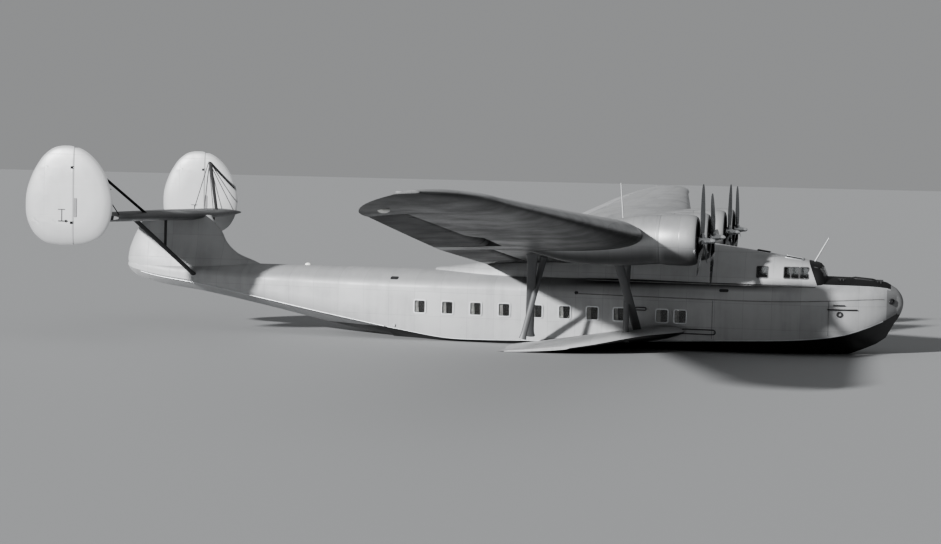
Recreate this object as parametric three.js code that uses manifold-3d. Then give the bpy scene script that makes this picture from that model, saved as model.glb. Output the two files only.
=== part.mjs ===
// A four-engined flying boat with sea wings (sponsons) and twin fins, as a 1:2 scale model.
// Frame: +X to the bow, +Y to port, +Z up, origin on the waterline at the main step.
// Dimensions below are the full-size aircraft's, in metres; X is from the main step, Z from its keel.

import * as THREE from 'three';
import { mergeVertices } from 'three/addons/utils/BufferGeometryUtils.js';
import Module from 'manifold-3d';

const MODEL_SCALE = 0.5;
const WATERLINE_HEIGHT = 0.88;
const SEAT_GAP = 0.3;
const RUNNING_GAP = 6;

const CENTRE_WING_HALF_SPAN = 7.65;
const WING_TIP_Y = 23.925;
const WING_TIP_START_Y = 20.5;

const ENGINE_INNER_Y = 3.02;
const ENGINE_OUTER_Y = 6.81;
const ENGINE_AXIS_Z = 4.70;
const PROPELLER_X = 5.54;
const PROPELLER_RADIUS = 1.70;
const COWLING_FRONT_X = 5.42;
const COWLING_REAR_X = 4.30;
const COWLING_RADIUS = 0.77;
const COWLING_WALL = 0.08;

const FIN_Y = 6.08;
const RUDDER_HINGE_X = -15.02;
const TAILPLANE_Z = 4.84;

const wasm = await Module();
wasm.setup();

const millimetres = metres => metres * 1000 * MODEL_SCALE;
const point = (x, y, z) => new THREE.Vector3(millimetres(x), millimetres(y), millimetres(z));
const lerp = THREE.MathUtils.lerp;

// Solid helpers

function toSolid(geometry) {
  const bare = geometry.clone();
  bare.deleteAttribute('normal');
  bare.deleteAttribute('uv');
  const merged = mergeVertices(bare, 1e-3);
  const vertProperties = new Float32Array(merged.attributes.position.array);
  const triVerts = new Uint32Array(merged.index.array);
  return new wasm.Manifold(new wasm.Mesh({ numProp: 3, vertProperties, triVerts }));
}

function toGeometry(solid) {
  const mesh = solid.getMesh();
  const geometry = new THREE.BufferGeometry();
  geometry.setAttribute('position', new THREE.BufferAttribute(new Float32Array(mesh.vertProperties), 3));
  geometry.setIndex(new THREE.BufferAttribute(new Uint32Array(mesh.triVerts), 1));
  geometry.computeVertexNormals();
  return geometry;
}

function largestPiece(solid) {
  const pieces = solid.decompose();
  return pieces.reduce((best, piece) => (piece.volume() > best.volume() ? piece : best));
}

// A closed body through rings of equal point counts; each end is a fan about an apex.
// Each four-sided facet is split along its shorter diagonal, so that both sides of the aircraft match.
function loft(rings, startApex = null, endApex = null) {
  const ringSize = rings[0].length;
  const vertices = rings.flat();
  const faces = [];
  const gap = (a, b) => vertices[a].distanceTo(vertices[b]);
  for (let ring = 0; ring < rings.length - 1; ring += 1) {
    for (let i = 0; i < ringSize; i += 1) {
      const next = (i + 1) % ringSize;
      const a = ring * ringSize + i;
      const b = ring * ringSize + next;
      const [c, d] = [a + ringSize, b + ringSize];
      faces.push(...(gap(b, c) < gap(a, d) + SEAT_GAP / 100 ? [a, b, c, b, d, c] : [a, b, d, a, d, c]));
    }
  }
  const addCap = (ring, apex, flip) => {
    const middle = new THREE.Vector3();
    rings[ring].forEach(vertex => middle.add(vertex));
    vertices.push(apex ?? middle.divideScalar(ringSize));
    const apexIndex = vertices.length - 1;
    for (let i = 0; i < ringSize; i += 1) {
      const a = ring * ringSize + i;
      const b = ring * ringSize + (i + 1) % ringSize;
      faces.push(...(flip ? [b, a, apexIndex] : [a, b, apexIndex]));
    }
  };
  addCap(0, startApex, true);
  addCap(rings.length - 1, endApex, false);
  const geometry = new THREE.BufferGeometry();
  const numbers = vertices.flatMap(vertex => vertex.toArray());
  geometry.setAttribute('position', new THREE.Float32BufferAttribute(numbers, 3));
  geometry.setIndex(faces);
  const volume = signedVolume(geometry);
  if (volume < 0) {
    geometry.setIndex(faces.slice().reverse());
  }
  return geometry;
}

function signedVolume(geometry) {
  const position = geometry.attributes.position;
  const index = geometry.index;
  const [a, b, c] = [new THREE.Vector3(), new THREE.Vector3(), new THREE.Vector3()];
  let total = 0;
  for (let i = 0; i < index.count; i += 3) {
    a.fromBufferAttribute(position, index.getX(i));
    b.fromBufferAttribute(position, index.getX(i + 1));
    c.fromBufferAttribute(position, index.getX(i + 2));
    total += a.dot(b.cross(c)) / 6;
  }
  return total;
}

// A solid of revolution about an axis through start, pointing along direction.
// The profile holds [distance along the axis, radius] in millimetres.
function turned(profile, start, direction, segments = 24) {
  const points = profile.map(([along, radius]) => new THREE.Vector2(radius, along));
  const geometry = new THREE.LatheGeometry(points, segments);
  const latheAxis = new THREE.Vector3(0, 1, 0);
  geometry.applyQuaternion(new THREE.Quaternion().setFromUnitVectors(latheAxis, direction.clone().normalize()));
  geometry.translate(start.x, start.y, start.z);
  return geometry;
}

function rodSolid(start, end, radiusStart, radiusEnd = radiusStart, segments = 12) {
  const axis = end.clone().sub(start);
  const profile = [[0, 0], [0, radiusStart], [axis.length(), radiusEnd], [axis.length(), 0]];
  return toSolid(turned(profile, start, axis, segments));
}

// A box from three edge directions at a corner.
function blockSolid(corner, edgeA, edgeB, edgeC) {
  const at = (a, b) => corner.clone().addScaledVector(edgeA, a).addScaledVector(edgeB, b);
  const base = [at(0, 0), at(1, 0), at(1, 1), at(0, 1)];
  const top = base.map(vertex => vertex.clone().add(edgeC));
  return toSolid(loft([base, top]));
}

// Hull

// Stations: x, keel z, chine z, chine half-beam, side half-beam, knuckle z, shoulder z, shoulder y, deck z
const HULL_STATIONS = [
  [11.30, 2.00, 2.25, 0.22, 0.30, 2.76, 2.95, 0.22, 3.10],
  [11.00, 1.45, 2.08, 0.58, 0.66, 2.76, 3.00, 0.54, 3.28],
  [10.40, 1.10, 1.82, 0.98, 1.06, 2.75, 3.02, 0.92, 3.39],
  [9.60, 0.80, 1.56, 1.32, 1.40, 2.71, 3.03, 1.20, 3.42],
  [8.60, 0.56, 1.42, 1.57, 1.62, 2.66, 3.05, 1.38, 3.42],
  [7.40, 0.38, 1.34, 1.72, 1.73, 2.62, 3.07, 1.47, 3.40],
  [6.40, 0.27, 1.30, 1.75, 1.75, 2.61, 3.07, 1.50, 3.38],
  [3.20, 0.10, 1.17, 1.75, 1.75, 2.63, 3.07, 1.50, 3.35],
  [0.00, 0.00, 1.05, 1.75, 1.75, 2.66, 3.00, 1.50, 3.30],
  [-0.04, 0.10, 1.04, 1.72, 1.75, 2.66, 3.00, 1.50, 3.30],
  [-3.00, 0.45, 0.98, 1.66, 1.70, 2.66, 2.95, 1.45, 3.24],
  [-5.60, 0.73, 1.28, 1.52, 1.56, 2.64, 2.92, 1.34, 3.23],
  [-5.64, 0.82, 1.29, 1.50, 1.56, 2.64, 2.92, 1.34, 3.23],
  [-8.00, 1.25, 1.67, 1.24, 1.32, 2.66, 2.92, 1.12, 3.22],
  [-10.60, 1.78, 2.12, 0.94, 1.02, 2.70, 2.94, 0.86, 3.20],
  [-12.80, 2.18, 2.48, 0.66, 0.74, 2.80, 3.00, 0.62, 3.22],
  [-14.40, 2.40, 2.68, 0.42, 0.48, 2.92, 3.08, 0.40, 3.30],
  [-15.20, 2.62, 2.84, 0.24, 0.28, 3.02, 3.14, 0.24, 3.34],
];
const BOW_APEX = [11.54, 2.62];
const STERN_APEX = [-15.60, 3.06];

function hullRing([x, keelZ, chineZ, chineY, sideY, knuckleZ, shoulderZ, shoulderY, deckZ]) {
  const half = [[0, keelZ], [chineY * 0.5, lerp(keelZ, chineZ, 0.46)], [chineY, chineZ]];
  half.push([sideY, lerp(chineZ, knuckleZ, 0.25)], [sideY, knuckleZ]);
  half.push([lerp(sideY, shoulderY, 0.45), lerp(knuckleZ, shoulderZ, 0.62)], [shoulderY, shoulderZ]);
  for (const angle of [0.45, 0.9]) {
    half.push([shoulderY * Math.cos(angle * 1.2), lerp(shoulderZ, deckZ, Math.sin(angle * 1.2))]);
  }
  const starboard = half.map(([y, z]) => point(x, -y, z));
  const port = half.slice(1).reverse().map(([y, z]) => point(x, y, z));
  return [...starboard, point(x, 0, deckZ), ...port];
}

function hullGeometry() {
  const bow = point(BOW_APEX[0], 0, BOW_APEX[1]);
  const stern = point(STERN_APEX[0], 0, STERN_APEX[1]);
  return loft(HULL_STATIONS.map(hullRing), bow, stern);
}

// Flight deck, cabin roof and the wing's seat with its fairing aft: x, half-width, roof z
const SUPERSTRUCTURE_STATIONS = [
  [9.06, 1.00, 3.40],
  [8.98, 1.08, 3.62],
  [8.85, 1.15, 3.84],
  [8.60, 1.21, 3.91],
  [7.60, 1.33, 4.07],
  [6.40, 1.38, 4.25],
  [5.20, 1.38, 4.42],
  [4.20, 1.36, 4.56],
  [3.20, 1.33, 4.64],
  [2.20, 1.30, 4.48],
  [0.60, 1.25, 4.20],
  [-0.80, 1.18, 3.88],
  [-1.60, 1.10, 3.72],
  [-2.40, 0.96, 3.56],
  [-3.20, 0.74, 3.42],
  [-4.20, 0.40, 3.30],
];
const SUPERSTRUCTURE_FLOOR_Z = 2.95;

function superstructureRing([x, halfWidth, roofZ]) {
  const steps = 12;
  const ring = [];
  for (let i = 0; i <= steps; i += 1) {
    const angle = Math.PI * i / steps;
    const side = Math.sign(Math.cos(angle)) * Math.abs(Math.cos(angle)) ** 0.62;
    ring.push(point(x, halfWidth * side, lerp(SUPERSTRUCTURE_FLOOR_Z, roofZ, Math.sin(angle) ** 0.8)));
  }
  return ring;
}

// Wing

// Half the section's thickness at x, as a share of the chord
function halfThickness(thickness, x) {
  const shape = 0.2969 * Math.sqrt(x) - 0.126 * x - 0.3516 * x ** 2 + 0.2843 * x ** 3 - 0.0986 * x ** 4;
  return 5 * thickness * shape;
}

// A section outline from the trailing edge over the top to the nose and back, as fractions of the chord.
function aerofoil(thickness, camber, steps = 9) {
  const upper = [];
  const lower = [];
  for (let i = 0; i <= steps; i += 1) {
    const x = 0.5 * (1 - Math.cos(Math.PI * i / steps));
    const half = halfThickness(thickness, x);
    const mean = camber * 4 * x * (1 - x);
    upper.push([x, mean + half]);
    lower.push([x, mean - half]);
  }
  return [...upper.reverse(), ...lower.slice(1)];
}

// A wing section at y; grow thickens it all round by that many millimetres.
function wingRing({ y, noseX, noseZ, chord, thickness, incidence, camber }, grow = 0) {
  const outline = aerofoil(thickness, camber);
  const size = millimetres(chord);
  const stretchX = 1 + 2 * grow / size;
  const stretchZ = 1 + 2 * grow / (size * thickness);
  const angle = THREE.MathUtils.degToRad(incidence);
  return outline.map(([along, up]) => {
    const aft = size * (0.5 + (along - 0.5) * stretchX);
    const rise = size * (camber + (up - camber) * stretchZ);
    return new THREE.Vector3(
      millimetres(noseX) - aft * Math.cos(angle) + rise * Math.sin(angle),
      millimetres(y),
      millimetres(noseZ) - aft * Math.sin(angle) + rise * Math.cos(angle));
  });
}

// Wing plan at the root, at the break and where the tip's curve starts: the nose and trailing-edge x,
// the nose z, the section thickness and the incidence
const WING_ROOT = { noseX: 3.82, tailX: -2.35, noseZ: 4.01, thickness: 0.165, incidence: 5.4 };
const WING_BREAK = { noseX: 3.82, tailX: -2.35, noseZ: 4.81, thickness: 0.165, incidence: 5.4 };
const WING_OUTER = { noseX: 2.30, tailX: -1.10, noseZ: 5.86, thickness: 0.125, incidence: 6.2 };
const WING_CAMBER = 0.04;
const WING_TIP_CENTRE = 0.46;
const WING_TIP_END = 0.985;
const WING_TIP_THICKNESS = 0.115;

function wingSection(y) {
  const distance = Math.abs(y);
  const isInner = distance < CENTRE_WING_HALF_SPAN;
  const [start, end] = isInner ? [WING_ROOT, WING_BREAK] : [WING_BREAK, WING_OUTER];
  const [startY, endY] = isInner ? [0, CENTRE_WING_HALF_SPAN] : [CENTRE_WING_HALF_SPAN, WING_TIP_START_Y];
  const row = {};
  for (const key of Object.keys(start)) {
    row[key] = lerp(start[key], end[key], (distance - startY) / (endY - startY));
  }
  let { noseX, tailX } = row;
  if (distance > WING_TIP_START_Y) {
    const along = Math.min((distance - WING_TIP_START_Y) / (WING_TIP_Y - WING_TIP_START_Y), WING_TIP_END);
    const round = Math.sqrt(1 - along ** 2);
    const middle = lerp(WING_OUTER.noseX, WING_OUTER.tailX, WING_TIP_CENTRE);
    noseX = middle + (WING_OUTER.noseX - middle) * round;
    tailX = middle + (WING_OUTER.tailX - middle) * round;
  }
  const thickness = Math.max(row.thickness, WING_TIP_THICKNESS);
  return { y, noseX, noseZ: row.noseZ, chord: noseX - tailX, thickness, incidence: row.incidence,
    camber: WING_CAMBER };
}

// A wing panel through the stations; grow swells it, to cut the seats of what meets it.
function wingGeometry(stations, grow = 0) {
  return loft(stations.map(y => wingRing(wingSection(y), grow)));
}

const CENTRE_STATIONS = [-CENTRE_WING_HALF_SPAN, 0, CENTRE_WING_HALF_SPAN];
const OUTER_STATIONS = [CENTRE_WING_HALF_SPAN, 12, 16.5, WING_TIP_START_Y, 21.8, 22.8, 23.4, 23.75,
  WING_TIP_Y];

// Hinge lines of the wing's moving surfaces: inner and outer y, and the x there
const FLAP = { inY: 1.9, outY: 7.35, inX: -1.15, outX: -1.15 };
const AILERON = { inY: 9.0, outY: 20.4, inX: -0.75, outX: -0.25 };
const NOSE_OVER_SKIN = 3;

// The radius of a hinged surface's round nose, a little over half the section's thickness there
function hingeRadius(section, x) {
  const share = (section.noseX - x) / section.chord;
  return millimetres(section.chord * halfThickness(section.thickness, share)) + NOSE_OVER_SKIN;
}

function midWing(y, x) {
  const section = wingSection(y);
  const aft = (section.noseX - x) / section.chord;
  const rise = section.camber * 4 * aft * (1 - aft) * section.chord;
  return section.noseZ - aft * section.chord * Math.sin(THREE.MathUtils.degToRad(section.incidence)) + rise;
}

// Control surfaces: a rounded nose turns in a cove, on pins held by brackets.
// Each bracket is a plate with an eye around a pin, in millimetres.
const BRACKET = { plate: 30, eye: 20, pin: 9, clearance: 0.5, root: 40, pinReach: 20 };
const TALLER_THAN_ANY_SECTION = 900;

// Returns the fixed part with its brackets and the moving part with its pins.
function hingedSplit(body, { from, to, radiusFrom, radiusTo, reach, brackets }) {
  const along = to.clone().sub(from);
  const length = along.length();
  along.normalize();
  const aft = new THREE.Vector3(-1, 0, 0).addScaledVector(along, along.x).normalize();
  const up = new THREE.Vector3().crossVectors(along, aft);
  const at = (s, a, u) =>
    from.clone().addScaledVector(along, s).addScaledVector(aft, a).addScaledVector(up, u);
  const scaled = (axis, size) => axis.clone().multiplyScalar(size);
  const block = (s0, s1, a0, a1, half) =>
    blockSolid(at(s0, a0, -half), scaled(along, s1 - s0), scaled(aft, a1 - a0), scaled(up, 2 * half));

  const tall = TALLER_THAN_ANY_SECTION;
  const cove = rodSolid(from, to, radiusFrom + RUNNING_GAP, radiusTo + RUNNING_GAP, 16);
  let fixed = body.subtract(block(0, length, 0, reach, tall)).subtract(cove);

  const inset = RUNNING_GAP + 1;
  const nose = rodSolid(at(inset, 0, 0), at(length - inset, 0, 0), radiusFrom, radiusTo, 16);
  let moving = body.intersect(block(inset, length - inset, 0, reach, tall).add(nose));

  const rod = (middle, half, radius) => rodSolid(at(middle - half, 0, 0), at(middle + half, 0, 0), radius);
  for (const share of brackets) {
    const middle = length * share;
    const radius = lerp(radiusFrom, radiusTo, share);
    const plateHalf = BRACKET.plate / 2;
    const slotHalf = plateHalf + RUNNING_GAP;
    const slotReach = radius * 2;
    const slotEnd = BRACKET.eye + RUNNING_GAP + 2;
    const slot = block(middle - slotHalf, middle + slotHalf, -slotReach, slotEnd, tall);
    moving = moving.subtract(rod(middle, slotHalf, slotReach).intersect(slot));
    moving = moving.add(rod(middle, slotHalf + BRACKET.pinReach, BRACKET.pin));
    const armFront = -radius - RUNNING_GAP - BRACKET.root;
    const arm = block(middle - plateHalf, middle + plateHalf, armFront, 0, BRACKET.eye * 0.7);
    const bore = rod(middle, BRACKET.plate, BRACKET.pin + BRACKET.clearance);
    fixed = fixed.add(arm.add(rod(middle, plateHalf, BRACKET.eye)).subtract(bore));
  }
  return { fixed: largestPiece(fixed), moving: largestPiece(moving) };
}

function wingSplit(body, line, sign, reach, brackets) {
  const hinge = (y, x) => point(x, sign * y, midWing(y, x));
  return hingedSplit(body, {
    from: hinge(line.inY, line.inX), to: hinge(line.outY, line.outX),
    radiusFrom: hingeRadius(wingSection(line.inY), line.inX),
    radiusTo: hingeRadius(wingSection(line.outY), line.outX),
    reach: millimetres(reach), brackets,
  });
}

// Assembly

const MATERIALS = {
  aluminium: { color: 0xc9cbcd, roughness: 0.38, metalness: 0.85 },
  hull: { color: 0xc4c6c8, roughness: 0.42, metalness: 0.8 },
  dark: { color: 0x3a3b3d, roughness: 0.5, metalness: 0.7 },
  blade: { color: 0x9a9c9f, roughness: 0.3, metalness: 0.9 },
};

const aircraft = new THREE.Group();
aircraft.position.z = -millimetres(WATERLINE_HEIGHT);

function addPart(name, shape, material = 'aluminium') {
  const geometry = shape.isBufferGeometry ? shape : toGeometry(shape);
  const mesh = new THREE.Mesh(geometry, new THREE.MeshStandardMaterial(MATERIALS[material]));
  mesh.name = name;
  aircraft.add(mesh);
}

const ROUND_SEGMENTS = 24;
const SIDES = [['port', 1], ['starboard', -1]];
const lowered = solid => solid.translate([0, 0, -SEAT_GAP]);
const raised = solid => solid.translate([0, 0, SEAT_GAP]);
const shiftedAft = solid => solid.translate([-SEAT_GAP, 0, 0]);
const shiftedAcross = (solid, sign) => solid.translate([0, sign * SEAT_GAP, 0]);
const cutBy = (solid, cutters) => cutters.reduce((rest, cutter) => rest.subtract(cutter), solid);

const hull = toSolid(hullGeometry());
addPart('hull', hull, 'hull');

// Centre wing with its flaps, and a slightly swollen copy that seats its neighbours
const SEAT_SWELL = SEAT_GAP + 0.15;
const wingCentre = toSolid(wingGeometry(CENTRE_STATIONS));
const swollenWing = toSolid(wingGeometry(CENTRE_STATIONS, SEAT_SWELL));
const wingSeats = [swollenWing, raised(wingCentre), lowered(wingCentre)];
let wingBox = wingCentre;
SIDES.forEach(([side, sign]) => {
  const split = wingSplit(wingBox, FLAP, sign, 1.8, [0.04, 0.5, 0.96]);
  wingBox = split.fixed;
  addPart(`flap_${side}`, split.moving);
});
addPart('wing_centre', wingBox);

const superstructure = toSolid(loft(SUPERSTRUCTURE_STATIONS.map(superstructureRing)));

// Roof hatch over the flight deck: a plate on a low coaming that follows the roof, hinged at its front edge
const HATCH = { frontX: 7.16, frontZ: 4.13, slope: 8.5, length: 0.42, width: 0.50, thickness: 0.05,
  coaming: 0.2, lip: 0.03, pocket: 0.4 };

function hatchBlock(bottom, top, margin) {
  const slope = THREE.MathUtils.degToRad(HATCH.slope);
  const aft = new THREE.Vector3(-Math.cos(slope), 0, Math.sin(slope));
  const up = new THREE.Vector3(Math.sin(slope), 0, Math.cos(slope));
  const front = point(HATCH.frontX, 0, HATCH.frontZ);
  const corner = front.addScaledVector(aft, millimetres(margin)).addScaledVector(up, bottom);
  corner.y -= millimetres(HATCH.width / 2 - margin);
  const length = millimetres(HATCH.length - 2 * margin);
  const width = millimetres(HATCH.width - 2 * margin);
  const across = new THREE.Vector3(0, width, 0);
  return blockSolid(corner, aft.multiplyScalar(length), across, up.multiplyScalar(top - bottom));
}

const coaming = hatchBlock(-millimetres(HATCH.coaming), -SEAT_GAP, HATCH.lip);
const roofHatch = hatchBlock(0, millimetres(HATCH.thickness), 0);
const hatchPocket = hatchBlock(-SEAT_GAP, millimetres(HATCH.pocket), -SEAT_GAP / millimetres(1));
const flightDeck = superstructure.add(coaming).subtract(hatchPocket);
addPart('superstructure', largestPiece(cutBy(flightDeck, [raised(hull), ...wingSeats])), 'hull');
addPart('roof_hatch', roofHatch, 'hull');

// Nacelles, from the bulkhead behind the engine aft: x, centre z, half-width, half-height
const BULKHEAD_X = COWLING_REAR_X + 0.02;
const NACELLE_STATIONS = [
  [BULKHEAD_X, ENGINE_AXIS_Z, 0.58, 0.60],
  [4.26, ENGINE_AXIS_Z, 0.70, 0.74],
  [3.80, 4.67, 0.71, 0.75],
  [3.00, 4.58, 0.69, 0.71],
  [2.30, 4.50, 0.61, 0.63],
  [1.20, 4.36, 0.44, 0.48],
  [0.50, 4.27, 0.27, 0.34],
  [0.00, 4.21, 0.10, 0.20],
];

function nacelleRing([x, centreZ, halfWidth, halfHeight], y) {
  const ring = [];
  const steps = 20;
  for (let i = 0; i < steps; i += 1) {
    const angle = 2 * Math.PI * i / steps;
    ring.push(point(x, y + halfWidth * Math.cos(angle), centreZ + halfHeight * Math.sin(angle)));
  }
  return ring;
}

const FORWARD = new THREE.Vector3(1, 0, 0);

function cowlingGeometry(y) {
  const length = millimetres(COWLING_FRONT_X - COWLING_REAR_X);
  const outer = millimetres(COWLING_RADIUS);
  const inner = millimetres(COWLING_RADIUS - COWLING_WALL);
  const skin = (outer - inner) / 1.6;
  const profile = [
    [0, inner], [0, outer - skin * 0.9], [length * 0.35, outer], [length * 0.72, outer],
    [length * 0.92, outer - skin * 1.1], [length, outer - skin * 2.6], [length * 0.95, outer - skin * 3.6],
    [length * 0.72, inner], [0, inner],
  ];
  return turned(profile, point(COWLING_REAR_X, y, ENGINE_AXIS_Z), FORWARD, ROUND_SEGMENTS);
}

// Engine: accessory case against the nacelle, cylinder block in the cowling, reduction gear and shaft
function engineGeometry(y) {
  const start = point(BULKHEAD_X, y, ENGINE_AXIS_Z);
  start.x += SEAT_GAP;
  const blockRadius = millimetres(COWLING_RADIUS - COWLING_WALL) - SEAT_GAP;
  const shaftLength = millimetres(PROPELLER_X + 0.1 - BULKHEAD_X);
  const profile = [
    [0, 0], [0, millimetres(0.42)], [millimetres(0.2), blockRadius], [millimetres(0.58), blockRadius],
    [millimetres(0.6), millimetres(0.3)], [millimetres(0.86), millimetres(0.24)],
    [millimetres(1.0), millimetres(0.06)], [shaftLength, millimetres(0.06)], [shaftLength, 0],
  ];
  return turned(profile, start, FORWARD, ROUND_SEGMENTS);
}

// Blade rows: radius share, chord, pitch angle, thickness share
const BLADE_ROWS = [
  [0.035, 0.11, 62, 0.7], [0.2, 0.15, 50, 0.3], [0.45, 0.22, 36, 0.14], [0.75, 0.21, 27, 0.1],
  [0.93, 0.16, 22, 0.09], [1.0, 0.07, 20, 0.09],
];
const BLADES = 3;
const BLADE_LEAD_ANGLES = [20, -10, 35, 5];

function bladeSolid(turn) {
  const rings = BLADE_ROWS.map(([share, chord, pitch, thickness]) => {
    const radius = millimetres(PROPELLER_RADIUS * share);
    const angle = THREE.MathUtils.degToRad(pitch);
    return [0, 1, 2, 3, 4, 5].map(i => {
      const t = 2 * Math.PI * i / 6;
      const across = Math.cos(t) * millimetres(chord) / 2;
      const through = Math.sin(t) * millimetres(chord) * thickness / 2;
      return new THREE.Vector3(across * Math.sin(angle) + through * Math.cos(angle),
        across * Math.cos(angle) - through * Math.sin(angle), radius);
    });
  });
  return toSolid(loft(rings).applyMatrix4(new THREE.Matrix4().makeRotationX(turn)));
}

function propellerSolid(lead) {
  const hub = millimetres(0.11);
  const back = -millimetres(0.11);
  const hubProfile = [[back, 0], [back, hub], [millimetres(0.1), hub], [millimetres(0.16), hub * 0.8],
    [millimetres(0.2), hub * 0.72], [millimetres(0.32), hub * 0.6], [millimetres(0.37), hub * 0.3],
    [millimetres(0.38), 0]];
  let solid = toSolid(turned(hubProfile, new THREE.Vector3(), FORWARD, 16));
  for (let blade = 0; blade < BLADES; blade += 1) {
    solid = solid.add(bladeSolid(THREE.MathUtils.degToRad(lead + 360 * blade / BLADES)));
  }
  const boreRadius = millimetres(0.06) + 0.5;
  const boreStart = new THREE.Vector3(back - 5, 0, 0);
  const boreEnd = new THREE.Vector3(millimetres(0.1) + 8, 0, 0);
  const bore = rodSolid(boreStart, boreEnd, boreRadius, boreRadius, ROUND_SEGMENTS);
  return solid.subtract(bore);
}

const ENGINE_ROWS = [['port_outer', ENGINE_OUTER_Y], ['port_inner', ENGINE_INNER_Y],
  ['starboard_inner', -ENGINE_INNER_Y], ['starboard_outer', -ENGINE_OUTER_Y]];

ENGINE_ROWS.forEach(([place, y], index) => {
  const nacelle = toSolid(loft(NACELLE_STATIONS.map(row => nacelleRing(row, y))));
  addPart(`nacelle_${place}`, largestPiece(cutBy(nacelle, wingSeats)));
  addPart(`cowling_${place}`, cowlingGeometry(y));
  addPart(`engine_${place}`, engineGeometry(y), 'dark');
  const propeller = propellerSolid(BLADE_LEAD_ANGLES[index]);
  addPart(`propeller_${place}`, propeller.translate(point(PROPELLER_X, y, ENGINE_AXIS_Z).toArray()), 'blade');
});

// Outer wings with ailerons
SIDES.forEach(([side, sign]) => {
  const stations = OUTER_STATIONS.map((y, index) => sign * (index ? y : y + 2 * SEAT_GAP / millimetres(1)));
  const panel = toSolid(wingGeometry(stations));
  const split = wingSplit(panel, AILERON, sign, 2.6, [0.08, 0.5, 0.92]);
  addPart(`wing_outer_${side}`, split.fixed);
  addPart(`aileron_${side}`, split.moving);
});

// Sponsons: y, nose x, tail x, nose z, tail z, thickness
const SPONSON_STATIONS = [
  [1.76, 4.55, -1.60, 1.53, 0.79, 0.54],
  [2.60, 4.25, -1.60, 1.53, 0.79, 0.47],
  [3.40, 3.60, -1.55, 1.50, 0.78, 0.37],
  [4.00, 2.80, -1.40, 1.38, 0.82, 0.29],
  [4.35, 2.00, -1.20, 1.22, 0.86, 0.20],
  [4.50, 1.20, -0.90, 1.08, 0.90, 0.12],
];
const SPONSON_ROOT_Y = 1.0;

// The sponson's section from the tail over the top to the nose and back: share of the chord, of the thickness
const SPONSON_PROFILE = [[1, 0.06], [0.8, 0.15], [0.5, 0.31], [0.29, 0.42], [0.156, 0.5], [0.07, 0.42],
  [0.02, 0.22], [0, 0], [0.03, -0.2], [0.12, -0.34], [0.35, -0.42], [0.7, -0.34], [1, -0.1]];

function sponsonRing([y, noseX, tailX, noseZ, tailZ, thickness], sign) {
  return SPONSON_PROFILE.map(([aft, up]) =>
    point(lerp(noseX, tailX, aft), sign * y, lerp(noseZ, tailZ, aft) + up * thickness));
}

const sponsons = SIDES.map(([side, sign]) => {
  const inner = SPONSON_STATIONS[0].slice();
  inner[0] = SPONSON_ROOT_Y;
  const rings = [inner, ...SPONSON_STATIONS].map(row => sponsonRing(row, sign));
  const solid = toSolid(loft(rings));
  const shape = largestPiece(cutBy(solid, [hull, shiftedAcross(hull, sign), lowered(hull)]));
  addPart(`sponson_${side}`, shape, 'hull');
  return shape;
});

// Sponson struts: a front and a rear crossed pair on each side, each pair one piece.
// Each member runs from a foot x, y inside the sponson to a head x, y inside the wing.
const STRUT_PAIRS = [
  ['strut_front', [[3.19, 2.3, 2.64, 5.6], [2.84, 3.4, 2.94, 4.0]]],
  ['strut_rear', [[-0.50, 2.3, 0.15, 5.6], [-0.44, 3.9, 0.40, 4.0]]],
];
const STRUT = { footZ: 1.2, headZ: 4.6, cutLow: 1.1, cutHigh: 4.35, chord: 0.32, thickness: 0.13 };

// Rings along a strut: share of its length, and how much wider the section is there.
const STRUT_SPREAD = [[0, 1], [0.68, 1], [0.78, 1.25], [0.86, 1.9], [1, 2.4]];
const PLAIN_STRUT = [[0, 1], [1, 1]];

function strutSolid(foot, head, chord, thickness, spread = PLAIN_STRUT) {
  const axis = head.clone().sub(foot).normalize();
  const across = new THREE.Vector3().crossVectors(axis, FORWARD).normalize();
  const fore = new THREE.Vector3().crossVectors(across, axis).normalize();
  const outline = [];
  const steps = 12;
  for (let i = 0; i < steps; i += 1) {
    const angle = 2 * Math.PI * i / steps;
    outline.push([Math.cos(angle) * millimetres(chord) / 2, Math.sin(angle) * millimetres(thickness) / 2]);
  }
  const ring = ([share, wide]) => outline.map(([a, b]) =>
    foot.clone().lerp(head, share).addScaledVector(fore, a * wide).addScaledVector(across, b * wide));
  return toSolid(loft(spread.map(ring)));
}

SIDES.forEach(([side, sign], index) => {
  STRUT_PAIRS.forEach(([name, members]) => {
    const solids = members.map(([footX, footY, headX, headY]) => {
      const foot = point(footX, sign * footY, STRUT.footZ);
      const head = point(headX, sign * headY, STRUT.headZ);
      return strutSolid(foot, head, STRUT.chord, STRUT.thickness, STRUT_SPREAD);
    });
    const pair = cutBy(solids[0].add(solids[1]), [raised(sponsons[index]), lowered(wingCentre)]);
    const between = pair.trimByPlane([0, 0, 1], millimetres(STRUT.cutLow))
      .trimByPlane([0, 0, -1], -millimetres(STRUT.cutHigh));
    addPart(`${name}_${side}`, largestPiece(between));
  });
});

// Tail pylon: z, front x, rear x, half-width
const PYLON_STATIONS = [
  [2.95, -10.1, -15.55, 0.55],
  [3.25, -10.75, -15.60, 0.50],
  [3.55, -11.48, -15.56, 0.42],
  [3.95, -11.90, -15.42, 0.34],
  [4.30, -12.08, -15.25, 0.30],
  [4.60, -12.33, -15.08, 0.28],
  [4.86, -12.48, -14.93, 0.25],
];

function pylonRing([z, frontX, rearX, halfWidth]) {
  const ring = [];
  const steps = 16;
  for (let i = 0; i < steps; i += 1) {
    const angle = 2 * Math.PI * i / steps;
    ring.push(point(lerp(rearX, frontX, 0.5 + 0.5 * Math.cos(angle)), halfWidth * Math.sin(angle), z));
  }
  return ring;
}

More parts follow.
